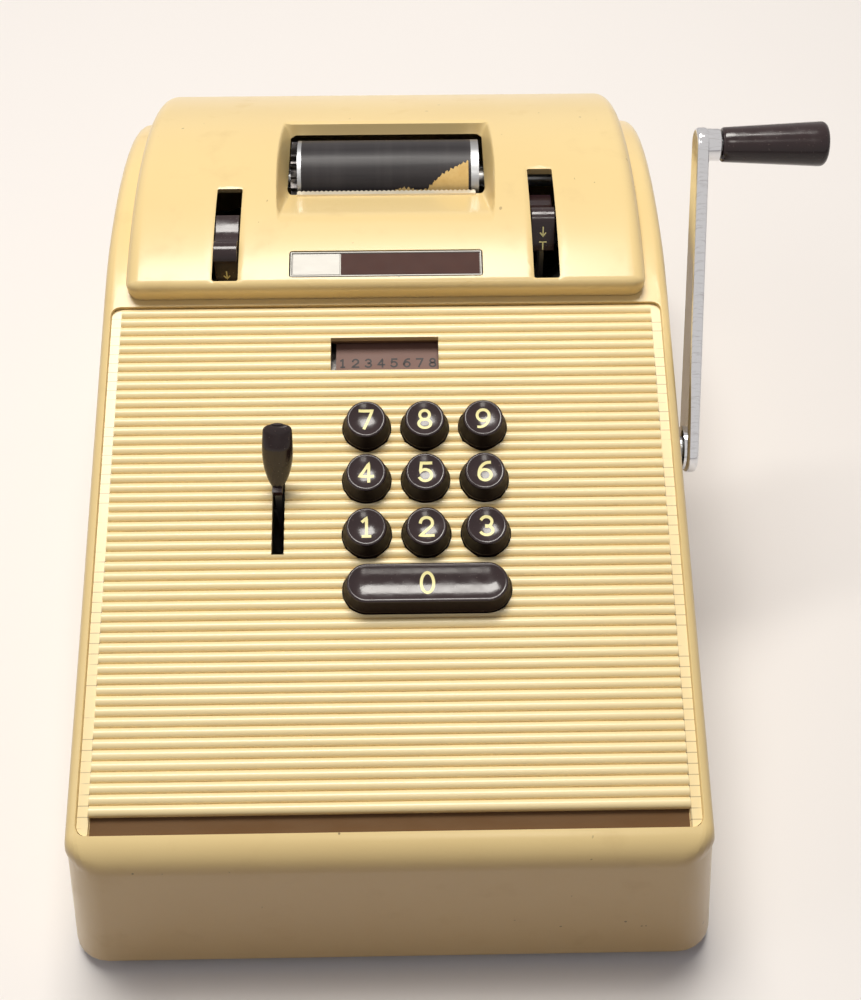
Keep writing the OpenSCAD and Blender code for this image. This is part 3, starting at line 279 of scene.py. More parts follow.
roll_paper, skin, at = new_finish("roll_paper", Specular_IOR_Level=0.25)
fibres = cloudy(at, 0.0012, 5.0)
tint(fibres, srgb(232, 226, 210), srgb(246, 242, 232)).into(skin["Base Color"])
(fibres * 0.15 + 0.72).into(skin["Roughness"])
relief(fibres, 0.00003, skin)

low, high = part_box("paper_roll")
roll_y, roll_z = (low[1] + high[1]) * 500 - middle.y * 1000, (low[2] + high[2]) * 500
roll_r, roll_half = (high[2] - low[2]) * 500, (high[0] - low[0]) * 500
core_r, layers, sunk = 4.06, 40, 0.25
radii = [core_r + (roll_r - core_r) * k / layers for k in range(layers + 1)]
left_end = [(-roll_half + (sunk if k % 2 else 0.0), r) for k, r in enumerate(radii)]
wound = left_end + [(-x, r) for x, r in reversed(left_end)] + left_end[:1]
new_piece("tape_roll", net([ring_about(x, roll_y, roll_z, r) for x, r in wound], ring=True),
          roll_paper, "tape_stock", ["paper_roll"], sharp=25)
dress(plain_steel, "roll_spindle")


# Case: one shell moulded in cream plastic and sprayed, wider at the desk than at its upper edges.
# It drops over the frames and is screwed to the pan; the panel and the hood fit into openings in
# its top.

slope = radians(16)
rib_top = 121
panel_up = Vector((0, -sin(slope), cos(slope)))


def on_panel(x, v, u):
    """A machine point v down the slope from the rearmost rib and u above the ribs."""
    return x, -v * cos(slope) - u * sin(slope), rib_top - v * sin(slope) + u * cos(slope)


def polar(centre, radius, degrees):
    """A point of the side view, at an angle from upright towards the back."""
    return centre[0] + radius * sin(radians(degrees)), centre[1] + radius * cos(radians(degrees))


def straight(start, end, steps):
    """Points from start to end, both included."""
    return [tuple(p + (q - p) * k / steps for p, q in zip(start, end)) for k in range(steps + 1)]


def ease(t):
    return t * t * (3 - 2 * t)


def rounded(wide, long, radius, steps=4):
    """Points round a rectangle with rounded corners."""
    loop = []
    for quarter, (sx, sy) in enumerate([(1, 1), (-1, 1), (-1, -1), (1, -1)]):
        for k in range(steps + 1):
            a = pi / 2 * (quarter + k / steps)
            loop.append((sx * (wide / 2 - radius) + radius * cos(a),
                         sy * (long / 2 - radius) + radius * sin(a)))
    return loop


def joined(*shapes):
    points, faces = [], []
    for more_points, more_faces in shapes:
        faces += [tuple(len(points) + k for k in face) for face in more_faces]
        points += more_points
    return points, faces


def open_up(piece, loop, up, depth):
    """Cuts a convex loop of machine points out of a thin shell, along up and only within depth
    millimetres of the loop."""
    loop = [place(*point) for point in loop]
    up = Vector(up).normalized()
    middle = sum(loop, Vector()) / len(loop)
    reach = max((point - middle).length for point in loop) + 0.02
    sides = []
    for here, there in zip(loop, loop[1:] + loop[:1]):
        across = (there - here).cross(up).normalized()
        sides.append((here, across if across.dot(here - middle) > 0 else -across))

    def near(face):
        off = face.calc_center_median() - middle
        return abs(off.dot(up)) < depth / 1000 and off.length < reach

    work = bmesh.new()
    work.from_mesh(piece.data)
    for here, across in sides:
        part = [face for face in work.faces if near(face)]
        part = list({item for face in part for item in (face, *face.edges, *face.verts)})
        bmesh.ops.bisect_plane(work, geom=part, plane_co=here, plane_no=across, dist=1e-7)
    inside = [face for face in work.faces if near(face)
              and all((face.calc_center_median() - here).dot(across) < 0 for here, across in sides)]
    bmesh.ops.delete(work, geom=inside, context="FACES")
    work.to_mesh(piece.data)
    work.free()


def settle(piece):
    """Turns a piece's modifiers into its mesh."""
    bpy.context.view_layer.update()
    shaped = piece.evaluated_get(bpy.context.evaluated_depsgraph_get())
    mesh = bpy.data.meshes.new_from_object(shaped)
    piece.modifiers.clear()
    piece.data = mesh


def thicken(piece, wall):
    how = piece.modifiers.new("wall", "SOLIDIFY")
    how.thickness = wall / 1000
    how.offset = -1
    settle(piece)


def even_shading(piece, sharp):
    piece.data.shade_smooth()
    piece.data.set_sharp_from_angle(angle=radians(sharp))
    how = piece.modifiers.new("even_shading", "WEIGHTED_NORMAL")
    how.keep_sharp = True
    settle(piece)


cream_paint, skin, at = new_finish("cream_paint", Coat_Weight=0.4, Coat_Roughness=0.2,
                                   Specular_IOR_Level=0.3)
aged = cloudy(at, 0.09, 4.0)
grime = step(cloudy(at, 0.014, 5.0), 0.56, 0.82)
specks = step(cloudy(at, 0.0026, 1.0), 0.765, 0.8) * step(cloudy(at, 0.03), 0.5, 0.62)
clean = tint(aged, srgb(228, 200, 138), srgb(237, 212, 152))
soiled_and_shaded = tint(grime * 0.22, clean, srgb(196, 164, 112))
tint(specks * 0.75, soiled_and_shaded, srgb(96, 74, 52)).into(skin["Base Color"])
(aged * 0.12 + grime * 0.14 + 0.3).into(skin["Roughness"])
relief(cloudy(at, 0.0011, 2.0), 0.000016, skin)

# The outline in side view, from the front foot over the top to the rear foot. Each point has the
# way it faces, in degrees from upright, and the rounding of the case's long edge there.
face_a, slope_a, hump_a, back_a = -86, -16, 38, 90
front_c, front_r = (-165.113, 61.171), 12
hump_c, hump_r = (43.395, -12.199), 140
rear_c, rear_r = (116.043, 80.786), 22
front_y, rear_y, foot_z, crown_z = -181, 138.043, 6.0, 127.8
half_foot, flare, broad, slim = 104.5, 8.0, 12, 4
face_steps, edge_steps, hump_steps, corner_steps = 9, 12, 24, 6
front_top = polar(front_c, front_r, face_a)
outline = []
for k in range(face_steps):
    z = foot_z + (front_top[1] - foot_z) * k / face_steps
    outline.append((front_y + (z - foot_z) * tan(radians(90 + face_a)), z, face_a, broad))
for k in range(edge_steps + 1):
    a = face_a + (slope_a - face_a) * k / edge_steps
    outline.append((*polar(front_c, front_r, a), a, broad - (broad - slim) * ease(k / edge_steps)))
slope_from, slope_to = outline[-1], (*polar(hump_c, hump_r, slope_a), slope_a, slim)
outline += straight(slope_from, slope_to, edge_steps)[1:-1]
for k in range(hump_steps + 1):
    a = slope_a + (hump_a - slope_a) * k / hump_steps
    outline.append((*polar(hump_c, hump_r, a), a, slim))
for k in range(1, edge_steps + 1):
    a = hump_a + (back_a - hump_a) * k / edge_steps
    outline.append((*polar(rear_c, rear_r, a), a, slim + (broad - slim) * ease(k / edge_steps)))
for k in range(1, face_steps + 1):
    outline.append((rear_y, rear_c[1] + (foot_z - rear_c[1]) * k / face_steps, back_a, broad))


def half_width(y, z):
    """Half the case's width: its upper edge is as wide all along, and the wall flares from it to
    the foot."""
    edge_z = min(crown_z, slope_from[1] + max(0.0, y - slope_from[0]) * tan(slope))
    return half_foot - flare * (z - foot_z) / (edge_z - foot_z)


rows = []
for y, z, a, r in outline:
    tilt = radians(a)
    half = half_width(y - r * sin(tilt), z - r * cos(tilt))
    row = []
    for k in range(corner_steps + 1):
        turn = pi / 2 * (1 - k / corner_steps)
        row.append((-(half - r + r * sin(turn)), r * (1 - cos(turn))))
    right_corner = [(-x, inset) for x, inset in reversed(row)]
    row += [((half - r) * (k / 3 - 1), 0.0) for k in range(1, 6)] + right_corner
    rows.append([(x, y - inset * sin(tilt), z - inset * cos(tilt)) for x, inset in row])

# Each side wall is a grid stretched between the front, rear and upper rims of that shell.
rise = face_steps + edge_steps
rim = [row[0][1:] for row in rows]
front_rim, back_rim, top_rim = rim[:rise + 1], rim[:-rise - 2:-1], rim[rise:-rise]
run = top_rim[-1][0] - top_rim[0][0]
wall = []
for level, (front, back) in enumerate(zip(front_rim, back_rim)):
    line = []
    for spot in top_rim:
        s = (spot[0] - top_rim[0][0]) / run
        y, z = (f + (b - f) * s + (t - t0 - (t1 - t0) * s) * level / rise
                for f, b, t, t0, t1 in zip(front, back, spot, top_rim[0], top_rim[-1]))
        line.append((half_width(y, z), y, z))
    wall.append(line)
right_side = net(wall)
left_side = [(-x, y, z) for x, y, z in right_side[0]], [face[::-1] for face in right_side[1]]
case = new_piece("moulded_case", joined(net(rows), left_side, right_side), cream_paint, "chassis",
                 ["case"], closed=False)

panel_wide, panel_long, hair_gap = 186.6, 177.25, 0.5
panel_mid = panel_long / 2 - 2
hood_opening_wide, hood_opening_long, hood_opening_y = 168, 113, 65.5
crank_axis, crank_hole_r, crank_hole_x = (-34, 87), 7, 99
open_up(case, [on_panel(p, panel_mid - q, 0)
               for p, q in rounded(panel_wide + hair_gap, panel_long + hair_gap, 3.25)],
        panel_up, 8)
open_up(case, [(p, hood_opening_y + q, rib_top)
               for p, q in rounded(hood_opening_wide, hood_opening_long, 4)], (0, 0, 1), 40)
open_up(case, ring_about(crank_hole_x, *crank_axis, crank_hole_r, 16), (1, 0, 0), 6)
thicken(case, 3)
even_shading(case, 32)


# Keyboard panel: a ribbed plate of the same cream plastic, painted lighter and paler than the case
# as painted sheen, and set into the case with a hair gap all round. Fifty-one half-round ribs run
# across it; their valleys are painted darker for dust and painted shade, and the groove at its
# foot is painted dark as painted shade.

def along(at, way):
    """How far the surface lies along a direction, in metres."""
    return at.node("VectorMath", {"operation": "DOT_PRODUCT"}, {0: at, 1: way}, out=1)


cream_panel_painted_sheen, skin, at = new_finish("cream_panel_painted_sheen", Coat_Roughness=0.18, Specular_IOR_Level=0.4)
aged = cloudy(at, 0.07, 4.0)
dust = step(cloudy(stretched(at, 1, 3, 3), 0.02, 5.0), 0.3, 0.7)
panel_down = Vector((0, -cos(slope), -sin(slope)))
rib_pitch, ribs_end = 0.00336, 0.0901
first_crest = place(0, 0, rib_top)
depth = first_crest.dot(panel_up) - along(at, panel_up)
sideways = abs(at.node("SeparateXYZ", {}, {0: at}) - datum[0])
ribbed = 1 - step(sideways, 0.0896, 0.0899)
# Dust and painted shade: the valleys between the ribs are painted darker, the deeper the darker.
valley_dust_and_shade = step(depth, 0.0006, 0.0014) * ribbed * (dust * 0.35 + 0.2)
# Painted shade: the groove at the panel's foot is painted dark brown.
groove_shade = step(depth, 0.0022, 0.0029) * ribbed
ribs_down = (along(at, panel_down) - first_crest.dot(panel_down)) / rib_pitch
off_valley = abs(ribs_down.maths("FRACT", ribs_down) - 0.5)
rim_ticks = (1 - step(off_valley, 0.025, 0.06)) * (1 - ribbed)
end_line = 1 - step(abs(sideways - ribs_end), 0.00008, 0.0002)
ticks = (rim_ticks * 0.5 + end_line * 0.55) * step(dust, 0.1, 0.5)
# Painted sheen: the panel's cream is lighter and paler than the case's paint.
clean = tint(aged, srgb(241, 218, 162), srgb(248, 229, 178))
soiled_and_shaded = tint(valley_dust_and_shade, clean, srgb(178, 138, 82))
soiled_and_shaded = tint(groove_shade * 0.95, soiled_and_shaded, srgb(92, 62, 36))
tint(ticks, soiled_and_shaded, srgb(92, 70, 48)).into(skin["Base Color"])
(aged * 0.1 + valley_dust_and_shade * 0.3 + groove_shade * 0.5 + 0.3).into(skin["Roughness"])
((1 - groove_shade) * 0.3).into(skin["Coat Weight"])
relief(cloudy(at, 0.0012, 2.0), 0.000012, skin)
dress(cream_panel_painted_sheen, "keyboard_panel")


# Keys: caps moulded with their stems in dark brown plastic, with a polished, dished top and a
# duller skirt, painted darker than the top as painted shade. The numerals are a second shot of
# pale yellow plastic, flush with the dish.

def solid(rings):
    """A closed shape through rings of points."""
    return net(rings, ring=True, caps=True)


def stadium_ring(run, radius, u, count=64):
    """A ring round two half circles run apart, at a height above the ribs."""
    ring = []
    for k in range(count):
        a = 2 * pi * (k + 0.5) / count
        ring.append((run / 2 * (1 if cos(a) > 0 else -1) + radius * cos(a), radius * sin(a), u))
    return ring


dish_r, dish_half, dish_low = 15.32, 5.7, 6.2
lip_r, lip_u, stem_r, stem_apart = 0.8, 6.5, 2, 16


def dish(off):
    """Height of the dished top at a distance from the cap's middle line."""
    return dish_low + dish_r - sqrt(dish_r ** 2 - min(off, dish_half) ** 2)


def key_cap(x, v, run):
    """A cap on its stem, or with a run between its half circles on two."""
    section = [(5.6, 4.2), (6.3, -2.5), (7.45, -2.5), (7.7, -2.2), (7.7, 0.6), (7.62, 0.85)]
    section += [(dish_half + lip_r * sin(radians(a)), lip_u + lip_r * cos(radians(a)))
                for a in range(100, -1, -10)]
    section += [(dish_half * k / 14, dish(dish_half * k / 14)) for k in range(13, 0, -1)]
    section.append((0.02, dish_low))
    shape = solid([[on_panel(x + p, v - q, u) for p, q, u in stadium_ring(run, radius, height)]
                   for radius, height in section])
    turns = [2 * pi * k / 20 for k in range(20)]
    for stem in (-stem_apart, stem_apart) if run else (0,):
        bar = [[on_panel(x + stem + stem_r * cos(a), v + stem_r * sin(a), u) for a in turns]
               for u in (-31.5, 4.3)]
        shape = joined(shape, solid(bar))
    return shape


def bow(x, y, wide, high, start, end):
    """Points along part of an ellipse, from one angle to another in degrees."""
    count = max(6, int(abs(end - start) / 9))
    turns = [radians(start + (end - start) * k / count) for k in range(count + 1)]
    return [(x + wide * cos(a), y + high * sin(a)) for a in turns]


digits = {
    0: [bow(0, 0, 0.46, 0.52, 0, 360)],
    1: [[(-0.27, 0.33), (0.02, 0.5), (0.02, -0.5)], [(-0.24, -0.5), (0.28, -0.5)]],
    2: [bow(0, 0.2, 0.46, 0.3, 172, -28) + [(-0.5, -0.5), (0.5, -0.5)]],
    3: [bow(-0.02, 0.24, 0.42, 0.26, 150, -90) + bow(-0.02, -0.24, 0.48, 0.26, 90, -150)],
    4: [[(0.2, -0.5), (0.2, 0.5), (-0.5, -0.2), (0.5, -0.2)]],
    5: [[(0.42, 0.5), (-0.32, 0.5), (-0.4, 0.02)] + bow(-0.03, -0.17, 0.49, 0.33, 128, -150)],
    6: [bow(0.3, -0.14, 0.77, 0.64, 84, 180) + bow(0, -0.19, 0.47, 0.31, 180, 540)],
    7: [[(-0.48, 0.5), (0.48, 0.5), (-0.14, -0.5)]],
    8: [bow(0, 0.25, 0.38, 0.25, -90, 270), bow(0, -0.25, 0.47, 0.26, 90, 450)],
    9: [bow(-0.3, 0.14, 0.77, 0.64, 264, 360) + bow(0, 0.19, 0.47, 0.31, 0, 360)],
}


def stroked(lines, wide, high, pen, lift):
    """Flat strokes of a pen along lines drawn in a unit box; lift maps (across, up) to the
    machine."""
    shapes = []
    for line in lines:
        fine = [Vector((line[0][0] * wide, line[0][1] * high))]
        for x, y in line[1:]:
            aim = Vector((x * wide, y * high))
            pieces = max(1, int((aim - fine[-1]).length / (pen * 0.5)))
            fine += [fine[-1].lerp(aim, (k + 1) / pieces) for k in range(pieces)]
        loop = (fine[0] - fine[-1]).length < pen * 0.2
        left, right = [], []
        for k, spot in enumerate(fine):
            back = fine[k - 1] if k else (fine[-2] if loop else spot)
            ahead = fine[k + 1] if k + 1 < len(fine) else (fine[1] if loop else spot)
            run_in, run_out = (spot - back).normalized(), (ahead - spot).normalized()
            run = (run_in + run_out).normalized()
            mitre = min(1.4, 1 / max(0.5, run.dot(run_out if k + 1 < len(fine) else run_in)))
            side = Vector((-run.y, run.x)) * pen / 2 * mitre
            if not loop and k in (0, len(fine) - 1):
                spot = spot + run * (pen / 2 if k else -pen / 2) * 0.9
            left.append(lift(*(spot + side)))
            right.append(lift(*(spot - side)))
        shapes.append(net([left, right]))
    return joined(*shapes)


brown_plastic, skin, at = new_finish("brown_plastic", Specular_IOR_Level=0.4, Coat_Weight=0.1,
                                     Coat_Roughness=0.06)
swirl = cloudy(stretched(at, 1, 1, 2), 0.012, 4.0)
handled = step(cloudy(at, 0.004, 4.0), 0.4, 0.75)
dust = step(cloudy(at, 0.0007, 1.0), 0.7, 0.76)
brown = tint(swirl, srgb(36, 22, 24), srgb(50, 33, 34))
tint(dust * 0.2, brown, srgb(140, 120, 110)).into(skin["Base Color"])
(handled * 0.12 + dust * 0.1 + 0.15).into(skin["Roughness"])
relief(handled * 0.6 + cloudy(at, 0.0009), 0.000012, skin)

numeral_plastic, skin, at = new_finish("numeral_plastic")
tint(cloudy(at, 0.0015), srgb(240, 228, 150), srgb(250, 242, 178)).into(skin["Base Color"])
(cloudy(at, 0.001) * 0.2 + 0.3).into(skin["Roughness"])

# Painted shade: the skirts' plastic is painted near black, darker than the tops.
dull_shaded_skirt, skin, at = new_finish("dull_shaded_skirt", Specular_IOR_Level=0.08)
tint(cloudy(at, 0.003), srgb(20, 11, 11), srgb(36, 22, 20)).into(skin["Base Color"])
(cloudy(at, 0.002) * 0.2 + 0.42).into(skin["Roughness"])

keys_x, keys_v, column_pitch, row_pitch, zero_run = 12.2, 44, 19.05, 18.7, 37.6
numeral_pen, numeral_proud, steep = 0.95, 0.05, 0.3
for n in range(10):
    key = "key_%d" % n
    key_x = keys_x + (((n - 1) % 3 - 1) * column_pitch if n else 0.0)
    key_v = keys_v + (2 - (n - 1) // 3 if n else 3) * row_pitch
    cap = new_piece("key_cap_%d" % n, key_cap(key_x, key_v, 0 if n else zero_run), brown_plastic,
                    key, [key])
    cap.data.materials.append(dull_shaded_skirt)
    # The steep faces, the skirts, take the painted shade.
    for face in cap.data.polygons:
        face.material_index = int(abs(face.normal.dot(panel_up)) < steep)

    def on_cap(p, q):
        off = hypot(p, q) if n else abs(q)
        return on_panel(key_x + p, key_v - q, dish(off) + numeral_proud)

    numeral = stroked(digits[n], 4.15 if n else 4.2, 6.15 if n else 6.3, numeral_pen, on_cap)
    new_piece("numeral_%d" % n, numeral, numeral_plastic, key, closed=False)


# Column strip: a strip of mauve plastic behind the window, numbered for the columns already
# entered. It stands on a foot on the pin carriage, which steps to the left with each key.

blackened_steel, skin, at = new_finish("blackened_steel", Metallic=1.0)
rubbed = step(cloudy(at, 0.0025, 4.0), 0.45, 0.7)
tint(rubbed, srgb(62, 60, 60), srgb(112, 108, 104)).into(skin["Base Color"])
(rubbed * 0.1 + 0.34).into(skin["Roughness"])
relief(cloudy(at, 0.0008), 0.00002, skin)
dress(blackened_steel, "pin_carriage", "carriage_rails")

strip_plastic, skin, at = new_finish("strip_plastic", Specular_IOR_Level=0.25)
faded = cloudy(stretched(at, 1, 4, 4), 0.012, 4.0)
tint(faded, srgb(106, 76, 66), srgb(124, 92, 80)).into(skin["Base Color"])
(faded * 0.2 + 0.4).into(skin["Roughness"])
relief(cloudy(at, 0.0008), 0.00001, skin)
dress(strip_plastic, "column_strip")

print_ink, skin, at = new_finish("print_ink")
tint(cloudy(at, 0.0006), srgb(22, 15, 15), srgb(44, 32, 30)).into(skin["Base Color"])
(cloudy(at, 0.0006) * 0.2 + 0.5).into(skin["Roughness"])
mark_x, mark_v, mark_u, mark_pitch, mark_pen = -15.1, 17.6, -4.96, 4.35, 0.6
marks = [stroked(digits[n], 2.1, 2.9, mark_pen,
                 lambda p, q: on_panel(mark_x + mark_pitch * (n - 1) + p, mark_v - q, mark_u))
         for n in range(1, 9)]
new_piece("strip_numbers", joined(*marks), print_ink, "carriage", closed=False)


# Correction lever: a flat steel lever that swings in a slot of the panel on a pivot far below it.
# Its spade knob is brown plastic, long-nosed below and blunt at the head, with a crowned front.

dress(plain_steel, "correction_lever")
seat, lean, lean_right = (-35.3, -63.80, 105.79), radians(11.16), 0.055
knob_half, nose_z, head_long, shoulder_z, shank_slant = 4.9, 14, 11, 22.8, 0.12


def on_knob(x, y, z):
    return (seat[0] + x + lean_right * z, seat[1] + y * cos(lean) + z * sin(lean),
            seat[2] - y * sin(lean) + z * cos(lean))


def knob_ring(z, inset):
    """One level of the knob, drawn in by inset all round."""
    half = knob_half * sin(acos(1 - z / nose_z)) if z < nose_z else knob_half
    half = max(0.7, half - 0.5 * max(0.0, (z - nose_z) / head_long) ** 2) - inset
    front = -2.5 if z < 17 else -2.5 + 2.1 * (z - 17) / 9
    back = 5 - 2.5 * (z - 0.9) / 13.1 if z < nose_z else 2.5 - 1.5 * (z - nose_z) / head_long
    back = min(back, 0.4 + half * 0.75)
    front, back = front + inset * 0.6, back - inset * 0.4
    middle_y = front + (back - front) * 0.55
    ring = []
    for k in range(36):
        a = 2 * pi * k / 36
        depth = (middle_y - front) if sin(a) < 0 else (back - middle_y)
        bulge = abs(sin(a)) ** 0.75 * (1 if sin(a) > 0 else -1)
        ring.append(on_knob(half * cos(a), middle_y + depth * bulge, z))
    return ring


levels = [(0.9, 0.3), (1.0, 0.0)] + [(1.0 + 21.8 * k / 26, 0.0) for k in range(1, 27)]
levels += [(shoulder_z + 2.15 * sin(radians(a)), 2.9 * (1 - cos(radians(a))))
           for a in (15, 30, 45, 58, 70, 80, 88)]
shank = [[(seat[0] + x, seat[1] + y - h * shank_slant, seat[2] + h + y * shank_slant)
          for x, y in ((-1.6, -3.5), (1.6, -3.5), (1.6, 3.5), (-1.6, 3.5))] for h in (0.0, 2.0)]
new_piece("spade_knob", joined(solid([knob_ring(z, inset) for z, inset in levels]), solid(shank)),
          brown_plastic, "correction", ["correction_knob"], sharp=50)


# Platen: a black rubber roller between two steel discs on a shaft, with a ratchet wheel at its
# left. Faint bands show where the type has struck it through the ribbon; the tear bar in front of
# it is a strip of dulled steel cut into saw teeth, tinted cream as a painted reflection.

platen_rubber, skin, at = new_finish("platen_rubber", Specular_IOR_Level=0.25)
struck = step(cloudy(stretched(at, 1.6, 0.05, 0.05), 0.008, 5.0), 0.45, 0.7)
bands = cloudy(stretched(at, 0.2, 5, 5), 0.01, 4.0)
tint(struck * 0.25 + bands * 0.75, srgb(28, 26, 29), srgb(60, 56, 57)).into(skin["Base Color"])
(bands * 0.25 + 0.28).into(skin["Roughness"])
relief(bands * 0.7 + cloudy(at, 0.0006) * 0.3, 0.00003, skin)
dress(platen_rubber, "platen_roller")
dress(plain_steel, "platen_shaft", "platen_discs")
dress(blackened_steel, "platen_ratchet")

saw_steel_painted_reflection, skin, at = new_finish("saw_steel_painted_reflection", Metallic=0.5)
dulled = cloudy(stretched(at, 1, 6, 6), 0.006, 4.0)
# Painted reflection: the steel is tinted cream, for the cream mouldings it mirrors.
tint(dulled, srgb(214, 203, 178), srgb(236, 227, 205)).into(skin["Base Color"])
(dulled * 0.2 + 0.38).into(skin["Roughness"])
relief(dulled, 0.00002, skin)
dress(saw_steel_painted_reflection, "tear_bar")


# Paper tape: the torn end of the last print-out, lying on the platen under the saw edge of the
# tear bar. It is thin tan paper, ragged along the tear, and turns with the platen.

tape_paper, skin, at = new_finish("tape_paper", Specular_IOR_Level=0.2)
fibres = cloudy(at, 0.0014, 6.0)
foxed = step(cloudy(at, 0.007), 0.5, 0.8)
tint(fibres * 0.6 + foxed * 0.4, srgb(226, 196, 132), srgb(206, 168, 102)).into(skin["Base Color"])
(fibres * 0.15 + 0.75).into(skin["Roughness"])
relief(fibres, 0.00004, skin)

platen_y, platen_z, tape_r, tucked_in = 70, 119, 14.3, 50
tape_left, tape_wide = -7, 36.7
tear = [(-7, 14), (-1.8, 18), (5.7, 27.5), (8.2, 27), (11, 24), (14.6, 25), (17.1, 35),
        (20.4, 47), (24.6, 56), (29.1, 65), (29.7, 66)]


def tear_at(x):
    """How far up the platen the tape reaches, in degrees above its front."""
    for (x0, t0), (x1, t1) in zip(tear, tear[1:]):
        if x <= x1:
            cut = t0 + (t1 - t0) * (x - x0) / (x1 - x0)
            return cut + 1.3 * sin(x * 4.1) + sin(x * 9.7 + 1) + 0.6 * sin(x * 17.3 + 2)
    return tear[-1][1]


columns = [tape_left + tape_wide * k / 120 for k in range(121)]
reach = [radians(tucked_in + tear_at(x)) for x in columns]
sheet = []
for k in range(25):
    turned = [span * k / 24 - radians(tucked_in) for span in reach]
    sheet.append([(x, platen_y - tape_r * cos(a), platen_z + tape_r * sin(a))
                  for x, a in zip(columns, turned)])
tape = new_piece("torn_tape", net(sheet), tape_paper, "platen", ["paper_tape"],
                 closed=False)


# Hood: a second cream moulding arched over the printing unit, held by its flanges in the case's
# opening. It has a deep scoop down to the print opening, two slots for the control levers and a
# pocket for the plate.

hood_c, hood_r, hood_half, side_r = (46.295, -13.499), 150.0, 88.3, 5.0
front_foot, rear_foot_r = (4.518, 122.296), 140.3
face_t = (front_foot[0] - hood_c[0]) * cos(slope) + (front_foot[1] - hood_c[1]) * sin(slope)
window_half, window_from, window_to, sill_z = 35.5, 53.5, 86.5, 126
slots, slot_half, slot_from, slot_roll = ((-54.4, 45.2), (54.4, 54.7)), 4.4, 5.2, 1.4


def arch(inset):
    """The hood's side outline drawn in by inset: front face, front edge, top, rear edge and rear
    face."""
    r = max(3.0, inset + 0.2)
    t, d = face_t + r, hood_r - r
    up = sqrt(d * d - t * t)
    edge = (hood_c[0] + t * cos(slope) - up * sin(slope),
            hood_c[1] + t * sin(slope) + up * cos(slope))
    ahead, behind = slope_a - 90, hump_a + 90
    front_a, rear_a = asin(t / d) * 180 / pi + slope_a, hump_a - asin(r / d) * 180 / pi
    foot = (front_foot[0] + inset * cos(slope) - 0.25 * sin(slope),
            front_foot[1] + inset * sin(slope) + 0.25 * cos(slope))
    line = straight(foot, polar(edge, r - inset, ahead), 4)[:-1]
    line += [polar(edge, r - inset, ahead + (front_a - ahead) * k / 6) for k in range(7)]
    line += [polar(hood_c, hood_r - inset, front_a + (rear_a - front_a) * k / 110)
             for k in range(1, 111)]
    rear = polar(hood_c, d, rear_a)
    line += [polar(rear, r - inset, rear_a + (behind - rear_a) * k / 6) for k in range(1, 7)]
    foot = polar(hood_c, rear_foot_r, hump_a)
    foot = (foot[0] - inset * cos(radians(hump_a)), foot[1] + inset * sin(radians(hump_a)))
    return line + straight(line[-1], foot, 3)[1:]


def soft_low(a, b, r):
    """The lower of two heights, rounded over r where they meet."""
    h = max(r - abs(a - b), 0.0) / r
    return min(a, b) - h * h * r / 4


def scooped(x, y, z):
    """The hood's height once the scoop and the rolled edges of the two slots are taken down."""
    spread = 0.12 + 0.32 * min(1.0, max(0.0, (y - 13) / 79.5))
    front_h, rear_h = (window_from - y) / 2.25, (y - window_to) / 0.4
    side_h = (abs(x) - window_half) / spread
    wall_h = -soft_low(soft_low(-front_h, -rear_h, 1.0), -side_h, 5.0)
    z = soft_low(z, sill_z + max(wall_h, -1.0), 1.6)
    for centre, slot_to in slots:
        off = max(abs(x - centre) - slot_half, slot_from - y, y - slot_to)
        if off < slot_roll:
            z -= 0.5 * (1 - max(off, 0.0) / slot_roll) ** 2
    return z


# Columns stand closest where the scoop's side walls drop, and furthest apart near the cheeks.
across = [-(hood_half - side_r + side_r * sin(pi / 2 * (1 - k / 7))) for k in range(8)]
inset_of = {x: side_r * (1 - cos(pi / 2 * (1 - k / 7))) for k, x in enumerate(across)}
x = across[-1]
while x < -1.2:
    x += 1.9 if x < -62 else 0.3 if -43 < x < -33 else 1.15
    across.append(x)
across = across[:-1] + [0.0] + [-x for x in reversed(across[:-1])]
lines = {x: arch(inset_of.get(-abs(x), 0.0)) for x in across}
top_from, top_to = 5, 120
rows = []
for i in range(len(lines[0.0])):
    row = [(x, *lines[x][i]) for x in across]
    if top_from <= i <= top_to:
        row = [(x, y, scooped(x, y, z)) for x, y, z in row]
    rows.append(row)
points, faces = net(rows)
wide = len(across)
feet = [polar(hump_c, hump_r + 0.25, -14 + 51.4 * k / 20) for k in range(20, -1, -1)]
for side, first in ((-1, 0), (1, wide - 1)):
    cheek = [i * wide + first for i in range(len(rows))]
    cheek += range(len(points), len(points) + len(feet))
    points += [(side * hood_half, *foot) for foot in feet]
    faces.append(tuple(cheek if side < 0 else reversed(cheek)))
hood = new_piece("arched_hood", (points, faces), cream_paint, "chassis", ["hood"],
                 closed=False)
plate_up = 9
plate_a = asin(face_t / hood_r) * 180 / pi + slope_a + plate_up / hood_r * 180 / pi


def on_hood(x, along, up):
    """A machine point on the arch, from the middle of the plate's pocket."""
    return (x, *polar(hood_c, hood_r + up, plate_a + along / hood_r * 180 / pi))


window_mid = (window_from + window_to) / 2
open_up(hood, [(p, window_mid + q, 130)
               for p, q in rounded(2 * window_half, window_to - window_from, 2)], (0, 0, 1), 20)
for centre, slot_to in slots:
    slot_mid = (slot_from + slot_to) / 2
    open_up(hood, [(centre + p, slot_mid + q, 132)
                   for p, q in rounded(2 * slot_half, slot_to - slot_from, 0.7, 2)], (0, 0, 1), 20)
radial = (0, sin(radians(plate_a)), cos(radians(plate_a)))
open_up(hood, [on_hood(p, q, 0) for p, q in rounded(65.6, 10.6, 1.0, 2)], radial, 6)
thicken(hood, 2.5)
even_shading(hood, 30)


# Name plate: a thin pressed plate bonded into the hood's pocket, left bare.
# Its left third is bright, the rest is filled with brown enamel inside a raised bright border.

